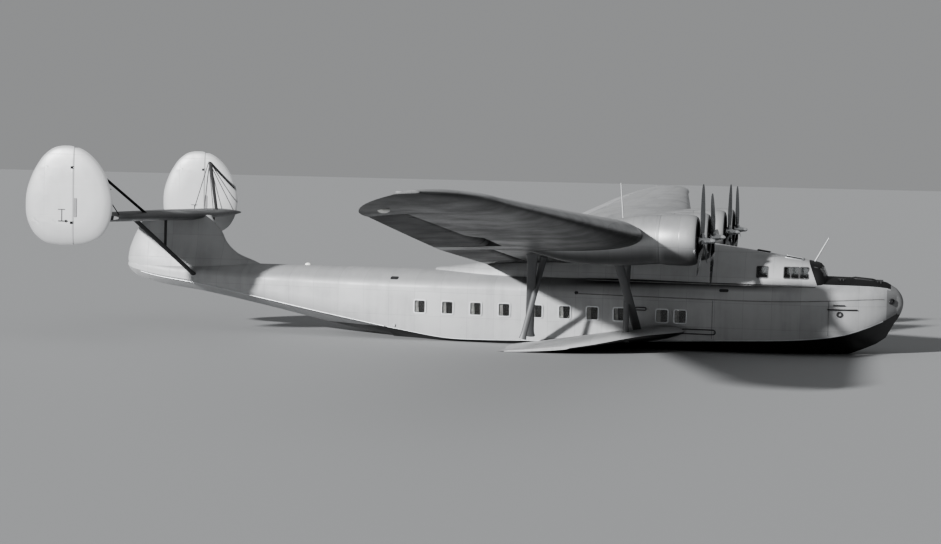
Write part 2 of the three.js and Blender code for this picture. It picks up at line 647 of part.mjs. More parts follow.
// Tailplane rows use the wing's section code
const TAIL_SECTION = { noseZ: TAILPLANE_Z, thickness: 0.11, incidence: 0, camber: 0.0001 };
const tailSection = (y, noseX, tailX) => ({ ...TAIL_SECTION, y, noseX, chord: noseX - tailX });
const TAIL_ROWS = [[-6.0, -13.47, -14.76], [-5.3, -13.37, -16.02], [0, -12.65, -16.10],
  [5.3, -13.37, -16.02], [6.0, -13.47, -14.76]];
const tailGeometry = grow => loft(TAIL_ROWS.map(row => wingRing(tailSection(...row), grow)));
const ELEVATOR = { inY: 0.35, outY: 5.2, x: -14.95 };

// Fins: an egg outline about a centre, widest low down
const FIN_OUTLINE = [
  [-15.3, 7.16], [-14.75, 7.06], [-14.3, 6.75], [-13.95, 6.3], [-13.73, 5.75], [-13.66, 5.2], [-13.75, 4.7],
  [-14.0, 4.28], [-14.45, 4.02], [-15.0, 3.93], [-15.5, 3.92], [-16.05, 4.02], [-16.45, 4.35],
  [-16.66, 4.8], [-16.70, 5.3], [-16.6, 5.9], [-16.35, 6.45], [-16.0, 6.9], [-15.65, 7.11],
];
const FIN_THICKNESS = 0.26;

function finGeometry(y) {
  const centre = [-15.1, 5.3];
  const ring = (share, offset) => FIN_OUTLINE.map(([x, z]) =>
    point(lerp(centre[0], x, share), y + offset, lerp(centre[1], z, share)));
  const half = FIN_THICKNESS / 2;
  return loft([ring(0.5, -half), ring(0.8, -half * 0.8), ring(0.96, -half * 0.35), ring(1, 0),
    ring(0.96, half * 0.35), ring(0.8, half * 0.8), ring(0.5, half)]);
}

const fins = SIDES.map(([side, sign]) => {
  const body = toSolid(finGeometry(sign * FIN_Y));
  const split = hingedSplit(body, {
    from: point(RUDDER_HINGE_X, sign * FIN_Y, 3.75), to: point(RUDDER_HINGE_X, sign * FIN_Y, 7.35),
    radiusFrom: millimetres(FIN_THICKNESS / 2) + 3, radiusTo: millimetres(FIN_THICKNESS / 2) + 3,
    reach: millimetres(2), brackets: [0.25, 0.75],
  });
  addPart(`fin_${side}`, split.fixed);
  addPart(`rudder_${side}`, split.moving);
  return split.fixed;
});

let tailplane = toSolid(tailGeometry(0));
fins.forEach((fin, index) => {
  tailplane = tailplane.subtract(fin).subtract(shiftedAcross(fin, -SIDES[index][1]));
});
SIDES.forEach(([side, sign]) => {
  const split = hingedSplit(tailplane, {
    from: point(ELEVATOR.x, sign * ELEVATOR.inY, TAILPLANE_Z),
    to: point(ELEVATOR.x, sign * ELEVATOR.outY, TAILPLANE_Z),
    radiusFrom: hingeRadius(tailSection(...TAIL_ROWS[2]), ELEVATOR.x),
    radiusTo: hingeRadius(tailSection(...TAIL_ROWS[3]), ELEVATOR.x),
    reach: millimetres(1.5), brackets: [0.1, 0.9],
  });
  tailplane = split.fixed;
  addPart(`elevator_${side}`, split.moving);
});
addPart('tailplane', tailplane);
const tailSeat = toSolid(tailGeometry(SEAT_SWELL));
const pylon = toSolid(loft(PYLON_STATIONS.map(pylonRing)));
const pylonSeats = [hull, raised(hull), lowered(hull), shiftedAft(hull), tailSeat];
addPart('tail_pylon', largestPiece(cutBy(pylon, pylonSeats)), 'hull');

// Tail struts: a main strut from the hull to the tailplane, and an upper one on to the fin
const TAIL_STRUTS = [
  ['tail_strut_lower', [-12.79, 0.50, 2.65], [-13.94, 4.10, 4.96], 0.20, 0.09],
  ['tail_strut_upper', [-13.51, 3.35, 4.87], [-14.79, 6.06, 6.78], 0.12, 0.06],
];

// Radio masts: name, foot, head
const MASTS = [
  ['mast_cockpit', [8.62, 0, 3.86], [9.07, 0, 4.69]],
  ['mast_wing', [2.27, 0, 4.45], [2.10, 0, 6.34]],
];
const MAST_RADIUS = 0.03;

SIDES.forEach(([side, sign], index) => {
  const at = ([x, y, z]) => point(x, sign * y, z);
  TAIL_STRUTS.forEach(([name, foot, head, chord, thickness]) => {
    const strut = strutSolid(at(foot), at(head), chord, thickness);
    const seats = [hull, shiftedAcross(hull, sign), raised(tailplane), lowered(tailplane), fins[index],
      shiftedAcross(fins[index], -sign), pylon, shiftedAcross(pylon, sign)];
    addPart(`${name}_${side}`, largestPiece(cutBy(strut, seats)));
  });
});

MASTS.forEach(([name, foot, head]) => {
  const wide = millimetres(MAST_RADIUS);
  const mast = rodSolid(point(...foot), point(...head), wide, wide * 0.6);
  const seats = [superstructure, raised(superstructure), wingCentre, raised(wingCentre)];
  addPart(name, largestPiece(cutBy(mast, seats)), 'dark');
});

export default aircraft;
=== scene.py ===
# %% [markdown]
# A four-engined flying boat, modelled at half its real size from one photograph.
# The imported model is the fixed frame: its solids say where each part is and which parts move.
# This lesson dresses that frame. Each solid gets a finer skin on the same lines, and small fittings are added.
# The solids could be shown as they are, but their facets would show, and sheet metal is all in its fine edges.

# %% Load the frame
from math import asin, atan2, cos, pi, radians, sin, sqrt, tan
import bpy
import numpy as np
from mathutils import Matrix, Vector


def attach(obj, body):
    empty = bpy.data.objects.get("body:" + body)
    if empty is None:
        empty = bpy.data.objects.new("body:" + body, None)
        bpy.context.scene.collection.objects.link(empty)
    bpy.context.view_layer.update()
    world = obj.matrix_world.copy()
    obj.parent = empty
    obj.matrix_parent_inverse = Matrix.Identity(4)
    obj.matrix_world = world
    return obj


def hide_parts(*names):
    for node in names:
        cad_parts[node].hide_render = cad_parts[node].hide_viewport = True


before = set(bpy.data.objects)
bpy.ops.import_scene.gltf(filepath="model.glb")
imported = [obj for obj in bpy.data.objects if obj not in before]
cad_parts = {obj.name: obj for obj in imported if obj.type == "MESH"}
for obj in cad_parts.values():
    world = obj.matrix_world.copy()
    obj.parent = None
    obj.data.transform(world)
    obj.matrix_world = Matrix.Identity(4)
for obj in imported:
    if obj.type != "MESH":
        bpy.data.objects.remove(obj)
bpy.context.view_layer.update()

# %% [markdown]
# The boat's lines are drawn in the real craft's metres, forward of the main step and up from its keel there.
# The model is half that size and floats at its waterline, where the floor is. Every number could be halved by hand,
# but one helper that turns a drawing's point into a model's point keeps the tables readable and in one place.

# %% Drawing to model
MODEL_SCALE = 0.5
WATERLINE = 0.88
SIDES = (("port", 1), ("starboard", -1))


def place(x, y, z):
    return Vector((x * MODEL_SCALE, y * MODEL_SCALE, (z - WATERLINE) * MODEL_SCALE))


def on_drawing(point):
    return point[0] / MODEL_SCALE, point[1] / MODEL_SCALE, point[2] / MODEL_SCALE + WATERLINE


def mix(a, b, share):
    return a + (b - a) * share


print("bow at", place(11.54, 0, 2.62))

# %% [markdown]
# The photograph looks at the boat's starboard side from a little above its deck and from well away.
# A camera could be aimed at the boat by eye. Its place, turn and lens were worked out instead from points whose
# size is known, such as the wing tips, so that the picture's lines fall where the photograph's do.

# %% Camera
CAMERA_PLACE = Vector((5.4355, -31.922, 2.8605))
YAW, PITCH, ROLL = radians(12.29), radians(-3.02), radians(1.30)
LENS, FILM_WIDTH = 72.61, 36.0
SEEN_TO = 2000

look = Vector((-sin(YAW) * cos(PITCH), cos(YAW) * cos(PITCH), sin(PITCH)))
level = Vector((cos(YAW), sin(YAW), 0))
above = level.cross(look)
right = level * cos(ROLL) + above * sin(ROLL)
up = above * cos(ROLL) - level * sin(ROLL)
bpy.ops.object.camera_add()
camera = bpy.context.object
camera.name = "camera"
camera.matrix_world = Matrix.Translation(CAMERA_PLACE) @ Matrix((right, up, -look)).transposed().to_4x4()
camera.data.lens = LENS
camera.data.sensor_width = FILM_WIDTH
camera.data.clip_end = SEEN_TO
bpy.context.scene.camera = camera
print("camera", [round(c, 2) for c in camera.location])

# %% [markdown]
# The light comes from behind the starboard quarter: the hull's side is bright, and the wing shades the cabin.
# Lamps near the model would light its bow less than its tail. A sun lamp lights it all alike, its wide angle makes
# it as soft as a studio screen, and an even pale sky fills the shadows. The plain floor lies at the waterline.

# %% Light and floor
SUN_FROM = Vector((-0.53, -0.79, 0.33))
SUN_STRENGTH = 6.4
SUN_WIDTH = 2.5
SKY_STRENGTH = 0.32
SKY_COLOUR = (0.84, 0.85, 0.86, 1)
FLOOR_SIZE = 1200
FLOOR_COLOUR, FLOOR_ROUGHNESS = (0.335, 0.34, 0.345, 1), 0.7

bpy.ops.object.light_add(type="SUN")
sun = bpy.context.object
sun.data.energy = SUN_STRENGTH
sun.data.angle = radians(SUN_WIDTH)
sun.rotation_euler = SUN_FROM.to_track_quat("Z", "Y").to_euler()
sky = bpy.data.worlds.new("pale_sky")
sky.use_nodes = True
glow = sky.node_tree.nodes["Background"]
glow.inputs["Color"].default_value = SKY_COLOUR
glow.inputs["Strength"].default_value = SKY_STRENGTH
bpy.context.scene.world = sky
bpy.context.scene.view_settings.view_transform = "AgX"
bpy.context.scene.view_settings.look = "AgX - Medium High Contrast"
bpy.ops.mesh.primitive_plane_add(size=FLOOR_SIZE, location=(0, 0, 0))
floor = bpy.context.object
floor.name = "floor"
floor_finish = bpy.data.materials.new("floor_pale")
floor_finish.use_nodes = True
floor_finish.node_tree.nodes["Principled BSDF"].inputs["Base Color"].default_value = FLOOR_COLOUR
floor_finish.node_tree.nodes["Principled BSDF"].inputs["Roughness"].default_value = FLOOR_ROUGHNESS
floor.data.materials.append(floor_finish)
print("floor", FLOOR_SIZE, "m across at the waterline")

# %% [markdown]
# An operator acts on all that is selected, and by hand the selecting is done with the mouse. A script picks faces
# and edges by their place or by the way they face, which says more than a list of numbers.

# %% Selecting
SMOOTH_ANGLE = 34


def deselect_all():
    if bpy.context.object and bpy.context.object.mode != "OBJECT":
        bpy.ops.object.mode_set(mode="OBJECT")
    bpy.ops.object.select_all(action="DESELECT")


def take(piece):
    deselect_all()
    piece.select_set(True)
    bpy.context.view_layer.objects.active = piece


def edit_where(piece, wanted, kind="FACE"):
    """Opens a piece in edit mode with only the wanted faces, or edges, selected."""
    take(piece)
    bpy.ops.object.mode_set(mode="EDIT")
    bpy.ops.mesh.select_mode(type=kind)
    bpy.ops.mesh.select_all(action="DESELECT")
    bpy.ops.object.mode_set(mode="OBJECT")
    for part in piece.data.polygons if kind == "FACE" else piece.data.edges:
        part.select = wanted(part)
    bpy.ops.object.mode_set(mode="EDIT")


def face_outward(piece, smooth_angle=None):
    """Turns every face outward again, after points were moved or loops bridged, and smooths it if asked."""
    take(piece)
    bpy.ops.object.mode_set(mode="EDIT")
    bpy.ops.mesh.select_all(action="SELECT")
    bpy.ops.mesh.normals_make_consistent(inside=False)
    bpy.ops.object.mode_set(mode="OBJECT")
    if smooth_angle:
        bpy.ops.object.shade_smooth_by_angle(angle=radians(smooth_angle))
    return piece


print("smooth below", SMOOTH_ANGLE, "degrees")

# %% [markdown]
# A hull, a wing and a nacelle are all lofts: rings drawn at stations and covered with sheet.
# Here a grid is added, each of its rows is laid on one ring, the seam is merged and the ends are filled.
# Extruding ring after ring would give the same mesh; the grid does it in one step and keeps its rows in order.

# %% Lofts
SEAM_MERGE = 0.00004


def loft(name, rings, smooth_angle=SMOOTH_ANGLE, closed=True):
    deselect_all()
    rows = [list(ring) + [ring[0]] for ring in rings] if closed else [list(ring) for ring in rings]
    bpy.ops.mesh.primitive_grid_add(x_subdivisions=len(rows[0]) - 1, y_subdivisions=len(rows) - 1, size=1)
    piece = bpy.context.object
    piece.name = piece.data.name = name
    flat = np.array([tuple(point) for row in rows for point in row], np.float32)
    piece.data.vertices.foreach_set("co", flat.ravel())
    bpy.ops.object.mode_set(mode="EDIT")
    bpy.ops.mesh.select_all(action="SELECT")
    bpy.ops.mesh.remove_doubles(threshold=SEAM_MERGE)
    if closed:
        bpy.ops.mesh.fill_holes(sides=0)
    bpy.ops.mesh.dissolve_degenerate(threshold=SEAM_MERGE)
    bpy.ops.mesh.select_all(action="SELECT")
    bpy.ops.mesh.normals_make_consistent(inside=False)
    bpy.ops.object.mode_set(mode="OBJECT")
    bpy.ops.object.shade_smooth_by_angle(angle=radians(smooth_angle))
    return piece


def round_points(steps):
    """The cosines and sines of a circle's points."""
    return [(cos(2 * pi * i / steps), sin(2 * pi * i / steps)) for i in range(steps)]


def turned(name, profile, centre, steps=48):
    """A round piece about an axis that runs forward: the profile's rows are x and radius."""
    rings = [[place(x, centre[0] + radius * c, centre[1] + radius * s) for c, s in round_points(steps)]
             for x, radius in profile]
    return loft(name, rings)


print("seams merge below", SEAM_MERGE, "m")

# %% [markdown]
# A loftsman draws a boat at a few stations and fairs the lines between them with a thin batten.
# Straight lines between stations would leave kinks, and a plain smooth curve would bulge past the drawn points.
# This curve is the batten: it passes through each point and never swings beyond its neighbours.

# %% Fair lines
def faired(table, places):
    """The table's columns at other places along its first one, on curves that don't overshoot."""
    rows = np.array(sorted(table), float)
    at, values = rows[:, 0], rows[:, 1:]
    gap = np.diff(at)[:, None]
    slope = np.diff(values, axis=0) / gap
    tangent = np.zeros_like(values)
    tangent[0], tangent[-1] = slope[0], slope[-1]
    before, after = slope[:-1], slope[1:]
    heavy, light = 2 * gap[1:] + gap[:-1], gap[1:] + 2 * gap[:-1]
    turning = before * after > 0
    safe_before, safe_after = np.where(turning, before, 1), np.where(turning, after, 1)
    tangent[1:-1] = np.where(turning, (heavy + light) / (heavy / safe_before + light / safe_after), 0)
    result = []
    for wanted in places:
        i = int(np.clip(np.searchsorted(at, wanted, "right") - 1, 0, len(at) - 2))
        width = gap[i, 0]
        t = (wanted - at[i]) / width
        result.append((2 * t ** 3 - 3 * t ** 2 + 1) * values[i] + (t ** 3 - 2 * t ** 2 + t) * width * tangent[i]
                      + (3 * t ** 2 - 2 * t ** 3) * values[i + 1] + (t ** 3 - t ** 2) * width * tangent[i + 1])
    return result


def spaced(start, end, step):
    count = max(1, round(abs(end - start) / step))
    return [mix(start, end, i / count) for i in range(count + 1)]


print("halfway to a level stretch", faired([(0, 0), (1, 1), (2, 1)], [0.5])[0])

# %% [markdown]
# Every finished piece gets its finish and the body that it moves with, and the solid that it stands for is hidden.
# One helper does this for every piece and keeps a list of the pieces.
# A second paint on part of a piece is given face by face, which keeps its edge as sharp as masked paint.

# %% Fitting and painting
pieces = {}


def fit(piece, body, material, node=None):
    piece.data.materials.clear()
    piece.data.materials.append(material)
    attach(piece, body)
    if node:
        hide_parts(node)
    pieces[piece.name] = piece
    return piece


def painted(piece, material, wanted):
    """Gives the material to the faces for which wanted(x, y, z, normal) is true, in drawing metres."""
    piece.data.materials.append(material)
    slot = len(piece.data.materials) - 1
    for face in piece.data.polygons:
        if wanted(*on_drawing(face.center), face.normal):
            face.material_index = slot
    return piece


# %% [markdown]
# Most of the boat is bare light-alloy sheet, lapped and riveted, dulled by salt and handling.
# A picture could be wrapped around it, but a pattern worked out from each point's own place has no edges and no
# size. Seams and weathering are each one node group, built once and used by every finish.

# %% Node helpers
def new_group(name, inputs, outputs):
    group = bpy.data.node_groups.new(name, "ShaderNodeTree")
    for label, kind, value in inputs:
        socket = group.interface.new_socket(label, in_out="INPUT", socket_type="NodeSocket" + kind)
        if value is not None:
            socket.default_value = value
    for label, kind in outputs:
        group.interface.new_socket(label, in_out="OUTPUT", socket_type="NodeSocket" + kind)
    return group, group.nodes.new("NodeGroupInput"), group.nodes.new("NodeGroupOutput")


def add_node(tree, kind, settings=None, **inputs):
    node = tree.nodes.new("ShaderNode" + kind)
    for label, value in (settings or {}).items():
        setattr(node, label, value)
    for label, value in inputs.items():
        socket = node.inputs[int(label[1:])] if label[0] == "i" and label[1:].isdigit() else node.inputs[label]
        if hasattr(value, "is_output"):
            tree.links.new(value, socket)
        else:
            socket.default_value = value
    return node


def reckon(tree, operation, first, second=0.0, third=0.0):
    return add_node(tree, "Math", {"operation": operation}, i0=first, i1=second, i2=third).outputs[0]


print("node helpers ready")

# %% [markdown]
# Sheets on the real boat are about as long as an arm can reach, and rivets run beside each lap.
# The seams could be cut into the mesh, at many thousands of faces. Here the place is divided by the sheet's size:
# near a whole number there is a seam, beside it a row of rivets, and each sheet takes its own slight tone.

# %% Sheet seams group
RIVET_INSET, RIVET_HEAD = 0.4, 0.16


def beside(tree, first, second):
    """The distance from two offsets, square to each other."""
    squares = [reckon(tree, "MULTIPLY", offset, offset) for offset in (first, second)]
    return reckon(tree, "SQRT", reckon(tree, "ADD", *squares))


def build_sheet_seams():
    tree, given, result = new_group(
        "sheet_seams",
        [("Place", "Vector", None), ("Sheet Length", "Float", 0.9), ("Sheet Width", "Float", 0.5),
         ("Line Width", "Float", 0.004), ("Rivet Pitch", "Float", 0.03)],
        [("Seam", "Float"), ("Rivets", "Float"), ("Sheet Tone", "Float")])
    part = add_node(tree, "SeparateXYZ", i0=given.outputs["Place"])
    lines, cells = [], []
    for axis, size in ((0, "Sheet Length"), (1, "Sheet Width")):
        scaled = reckon(tree, "DIVIDE", part.outputs[axis], given.outputs[size])
        near = reckon(tree, "ABSOLUTE", reckon(tree, "SUBTRACT", reckon(tree, "FRACT", scaled), 0.5))
        metres = reckon(tree, "MULTIPLY", reckon(tree, "SUBTRACT", 0.5, near), given.outputs[size])
        lines.append(metres)
        cells.append(reckon(tree, "FLOOR", scaled))
    nearest = reckon(tree, "MINIMUM", lines[0], lines[1])
    seam = add_node(tree, "MapRange", {"interpolation_type": "SMOOTHSTEP"}, i0=nearest, i1=0.0,
                    i2=given.outputs["Line Width"], i3=1.0, i4=0.0)
    tree.links.new(seam.outputs[0], result.inputs["Seam"])
    pitch = given.outputs["Rivet Pitch"]
    rows = []
    for own, other in ((0, 1), (1, 0)):
        offset = reckon(tree, "SUBTRACT", lines[own], reckon(tree, "MULTIPLY", pitch, RIVET_INSET))
        along = reckon(tree, "PINGPONG", part.outputs[other], reckon(tree, "MULTIPLY", pitch, 0.5))
        head = add_node(tree, "MapRange", {"interpolation_type": "SMOOTHSTEP"}, i0=beside(tree, offset, along),
                        i1=0.0, i2=reckon(tree, "MULTIPLY", pitch, RIVET_HEAD), i3=1.0, i4=0.0)
        rows.append(head.outputs[0])
    tree.links.new(reckon(tree, "MAXIMUM", rows[0], rows[1]), result.inputs["Rivets"])
    cell = add_node(tree, "CombineXYZ", i0=cells[0], i1=cells[1])
    tone = add_node(tree, "TexWhiteNoise", {"noise_dimensions": "2D"}, Vector=cell.outputs[0])
    tree.links.new(tone.outputs["Value"], result.inputs["Sheet Tone"])
    return tree


sheet_seams = build_sheet_seams()
print("seams group nodes", len(sheet_seams.nodes))

# %% [markdown]
# Salt, rain and handling leave three marks: broad patches, streaks in the way that water runs, and a fine grain.
# Each is a cloud noise; the streaks are the same noise pulled long in one direction.
# One group gives all three, so the whole boat has aged in the same weather.

# %% Weathering group
GRAIN_SCALE, CLOUD_RANGE = 90.0, (0.32, 0.72)


def build_weathering():
    tree, given, result = new_group(
        "weathering",
        [("Place", "Vector", None), ("Patch Scale", "Float", 1.6), ("Streak", "Vector", (0.6, 2.0, 7.0))],
        [("Patches", "Float"), ("Streaks", "Float"), ("Grain", "Float")])
    patches = add_node(tree, "TexNoise", Vector=given.outputs["Place"], Scale=given.outputs["Patch Scale"],
                       Detail=5.0, Roughness=0.6)
    stretched = add_node(tree, "VectorMath", {"operation": "MULTIPLY"}, i0=given.outputs["Place"],
                         i1=given.outputs["Streak"])
    streaks = add_node(tree, "TexNoise", Vector=stretched.outputs[0], Scale=1.0, Detail=6.0, Roughness=0.62)
    grain = add_node(tree, "TexNoise", Vector=given.outputs["Place"], Scale=GRAIN_SCALE, Detail=3.0, Roughness=0.5)
    for label, noise in (("Patches", patches), ("Streaks", streaks), ("Grain", grain)):
        spread = add_node(tree, "MapRange", {"interpolation_type": "SMOOTHSTEP"}, i0=noise.outputs["Fac"],
                          i1=CLOUD_RANGE[0], i2=CLOUD_RANGE[1], i3=0.0, i4=1.0)
        tree.links.new(spread.outputs[0], result.inputs[label])
    return tree


weathering = build_weathering()
print("weathering group nodes", len(weathering.nodes))

# %% [markdown]
# A finish is two tones of one metal or paint. Dirt, seams and each sheet's own tone mix them, and rivets and seams
# stand in relief. A finish can also darken faces that look down, and a gutter, as painted shade: the piece carries
# an attribute that says where, and the finish darkens there. A second material would show a hard edge instead.

# %% Metal and paint finishes
PAINTED_SHADE = "painted_shade"
SHINIER, DULLER, SHEET_RELIEF = -0.06, 0.10, 0.0012


def axes_for(tree, along, across):
    """Object coordinates with the two axes of the sheets first."""
    where = add_node(tree, "TexCoord").outputs["Object"]
    parts = add_node(tree, "SeparateXYZ", i0=where)
    picked = add_node(tree, "CombineXYZ", i0=parts.outputs[along], i1=parts.outputs[across], i2=0.0)
    return where, picked.outputs[0]


def finish_of(name, light, dark, metallic, roughness, along="X", across="Z", sheet=(0.9, 0.5), seam=0.4,
              streak=(8.0, 3.0, 0.7), dirt=0.25, uneven=0.12, under=None):
    """Two tones mixed by dirt, sheets and seams. With under, the piece's own attribute takes the colour
    down to that share of itself, softly from 0 to 1, as painted shade."""
    material = bpy.data.materials.new(name)
    material.use_nodes = True
    tree = material.node_tree
    shader = tree.nodes["Principled BSDF"]
    where, sheets = axes_for(tree, along, across)
    seams = add_node(tree, "Group", {"node_tree": sheet_seams}, Place=sheets)
    seams.inputs["Sheet Length"].default_value, seams.inputs["Sheet Width"].default_value = sheet
    worn = add_node(tree, "Group", {"node_tree": weathering}, Place=where)
    worn.inputs["Streak"].default_value = streak
    tone = add_node(tree, "MapRange", i0=seams.outputs["Sheet Tone"], i1=0.0, i2=1.0, i3=0.0, i4=uneven)
    dirty = reckon(tree, "MULTIPLY", worn.outputs["Streaks"], worn.outputs["Patches"])
    shade = reckon(tree, "ADD", reckon(tree, "MULTIPLY", dirty, dirt), tone.outputs[0])
    shade = reckon(tree, "ADD", shade, reckon(tree, "MULTIPLY", seams.outputs["Seam"], seam))
    clamped = add_node(tree, "Clamp", i0=shade).outputs[0]
    colour = add_node(tree, "Mix", {"data_type": "RGBA"}, i0=clamped)
    colour.inputs[6].default_value = (*light, 1)
    colour.inputs[7].default_value = (*dark, 1)
    result = colour.outputs[2]
    # Painted shade: the attribute darkens the colour towards the under share of itself.
    if under is not None:
        below = add_node(tree, "Attribute", {"attribute_name": PAINTED_SHADE})
        painted_shade = add_node(tree, "Mix", {"data_type": "RGBA", "blend_type": "MULTIPLY"},
                          i0=below.outputs["Fac"], i6=result)
        painted_shade.inputs[7].default_value = (under, under, under, 1)
        result = painted_shade.outputs[2]
    tree.links.new(result, shader.inputs["Base Color"])
    rough = add_node(tree, "MapRange", i0=worn.outputs["Patches"], i1=0.0, i2=1.0,
                     i3=roughness + SHINIER, i4=roughness + DULLER)
    tree.links.new(rough.outputs[0], shader.inputs["Roughness"])
    height = reckon(tree, "SUBTRACT", reckon(tree, "MULTIPLY", seams.outputs["Rivets"], 0.6),
                    seams.outputs["Seam"])
    height = reckon(tree, "ADD", height, reckon(tree, "MULTIPLY", worn.outputs["Grain"], 0.12))
    relief = add_node(tree, "Bump", Height=height, Strength=0.6, Distance=SHEET_RELIEF)
    tree.links.new(relief.outputs[0], shader.inputs["Normal"])
    shader.inputs["Metallic"].default_value = metallic
    return material


print("one finish for every sheet of metal")

# %% [markdown]
# The tones were set side by side with the photograph: pale bare metal on hull and wing, near black below the chine,
# on the bow deck and on the engines. The tailplane and struts are darker as painted shade, for the shade they lie
# in.
# Doped fabric covers the flaps and ailerons, and the under values set how dark the painted shade below is.
# Each could be mixed by hand in the node editor; one line of values each keeps them easy to compare.

# %% Finishes of the boat
hull_metal = finish_of("hull_metal", (0.39, 0.394, 0.398), (0.12, 0.123, 0.127), 0.15, 0.56, sheet=(0.46, 0.41),
                       under=0.12)
wing_metal = finish_of("wing_metal", (0.50, 0.505, 0.51), (0.12, 0.123, 0.127), 0.45, 0.40, "Y", "X",
                       (0.75, 0.42), streak=(3.0, 1.1, 0.0), dirt=0.40, under=0.15)
doped_fabric = finish_of("doped_fabric", (0.40, 0.405, 0.41), (0.12, 0.123, 0.127), 0.15, 0.58, "Y", "X",
                         (0.75, 0.42), streak=(3.0, 1.1, 0.0), dirt=0.30, under=0.15)
# Near black as painted shade: the tailplane's top lies in the fins' shadow.
tailplane_painted_shade = finish_of("tailplane_painted_shade", (0.13, 0.132, 0.135), (0.05, 0.05, 0.052), 0.3, 0.5, "Y", "X",
                            (0.5, 0.5), seam=0.2)
tail_metal = finish_of("tail_metal", (0.40, 0.404, 0.408), (0.20, 0.203, 0.207), 0.20, 0.48, "Z", "X",
                       (0.5, 0.5), seam=0.12, dirt=0.12, uneven=0.05)
nacelle_metal = finish_of("nacelle_metal", (0.43, 0.434, 0.438), (0.15, 0.153, 0.157), 0.50, 0.38, "X", "Z",
                          (0.35, 0.6), seam=0.3, under=0.22)
bottom_black = finish_of("bottom_black", (0.0030, 0.0030, 0.0034), (0.010, 0.010, 0.0105), 0.0, 0.38,
                         seam=0.2)
deck_black = finish_of("deck_black", (0.0040, 0.0040, 0.0043), (0.012, 0.012, 0.0125), 0.0, 0.62, seam=0.2)
# The struts' dark tones are painted shade: the wing struts lie in the wing's shade, and the tail struts and posts
# are near black.
strut_painted_shade = finish_of("strut_painted_shade", (0.13, 0.132, 0.135), (0.05, 0.05, 0.052), 0.4, 0.42, "X", "Z", (2.0, 2.0),
                        seam=0.1)
strut_dark_painted_shade = finish_of("strut_dark_painted_shade", (0.045, 0.045, 0.046), (0.02, 0.02, 0.02), 0.2, 0.5, "X", "Z", (2.0, 2.0),
                       seam=0.1)
mast_metal = finish_of("mast_metal", (0.40, 0.405, 0.41), (0.2, 0.2, 0.2), 0.2, 0.5, seam=0.0)
cylinder_metal = finish_of("cylinder_metal", (0.16, 0.16, 0.165), (0.05, 0.05, 0.05), 0.8, 0.40,
                           seam=0.0, dirt=0.6)
blade_metal = finish_of("blade_metal", (0.26, 0.265, 0.27), (0.12, 0.123, 0.127), 0.85, 0.26,
                        seam=0.0, dirt=0.4)
engine_dark = finish_of("engine_dark", (0.055, 0.055, 0.058), (0.02, 0.02, 0.02), 0.7, 0.45, seam=0.0)
nose_band = finish_of("nose_band", (0.24, 0.242, 0.245), (0.10, 0.10, 0.10), 0.2, 0.55, seam=0.0)
print("finishes", len(bpy.data.materials))

# %% [markdown]
# The hull is a two-step planing hull: a hard chine, flat sides up to a knuckle, and a crowned deck.
# Its lines are read at stations, and one ring is drawn at each. The stations before, between and behind the two
# steps are faired on their own, so the steps stay sharp where one batten would have rounded them.

# %% Hull lines
# Each row: x, keel, chine, chine half-beam, side half-beam, knuckle, shoulder, shoulder half-beam, deck.
# Behind x, these columns are also asked for by name:
CHINE, KNUCKLE, SHOULDER, DECK = 1, 4, 5, 7
HULL_LINES = [
    [(11.30, 2.00, 2.25, .22, .30, 2.76, 2.95, .22, 3.10), (11.00, 1.45, 2.08, .58, .66, 2.76, 3.00, .54, 3.28),
     (10.40, 1.10, 1.82, .98, 1.06, 2.75, 3.02, .92, 3.39), (9.60, .80, 1.56, 1.32, 1.40, 2.71, 3.03, 1.20, 3.42),
     (8.60, .56, 1.42, 1.57, 1.62, 2.66, 3.05, 1.38, 3.42), (7.40, .38, 1.34, 1.72, 1.73, 2.62, 3.07, 1.47, 3.40),
     (6.40, .27, 1.30, 1.75, 1.75, 2.61, 3.07, 1.50, 3.38), (3.20, .10, 1.17, 1.75, 1.75, 2.63, 3.07, 1.50, 3.35),
     (0, 0, 1.05, 1.75, 1.75, 2.66, 3.00, 1.50, 3.30)],
    [(-.04, .10, 1.04, 1.72, 1.75, 2.66, 3.00, 1.50, 3.30), (-3.00, .45, .98, 1.66, 1.70, 2.66, 2.95, 1.45, 3.24),
     (-5.60, .73, 1.28, 1.52, 1.56, 2.64, 2.92, 1.34, 3.23)],
    [(-5.64, .82, 1.29, 1.50, 1.56, 2.64, 2.92, 1.34, 3.23), (-8.00, 1.25, 1.67, 1.24, 1.32, 2.66, 2.92, 1.12, 3.22),
     (-10.60, 1.78, 2.12, .94, 1.02, 2.70, 2.94, .86, 3.20), (-12.80, 2.18, 2.48, .66, .74, 2.80, 3.00, .62, 3.22),
     (-14.40, 2.40, 2.68, .42, .48, 2.92, 3.08, .40, 3.30), (-15.20, 2.62, 2.84, .24, .28, 3.02, 3.14, .24, 3.34)],
]
BOW_TIP, STERN_TIP = (11.54, 2.62), (-15.60, 3.06)
BOTTOM_STEPS, CROWN_STEPS, STATION_STEP = 4, 9, 0.3
SIDE_SHARES = (0.06, 0.25, 0.5, 0.75, 1.0)
SHOULDER_CURVE = ((0.08, 0.30), (0.28, 0.60), (0.60, 0.83))
BOTTOM_HOLLOW, SIDE_FLARE, FLATTEST_CROWN = 0.16, 0.25, 0.4


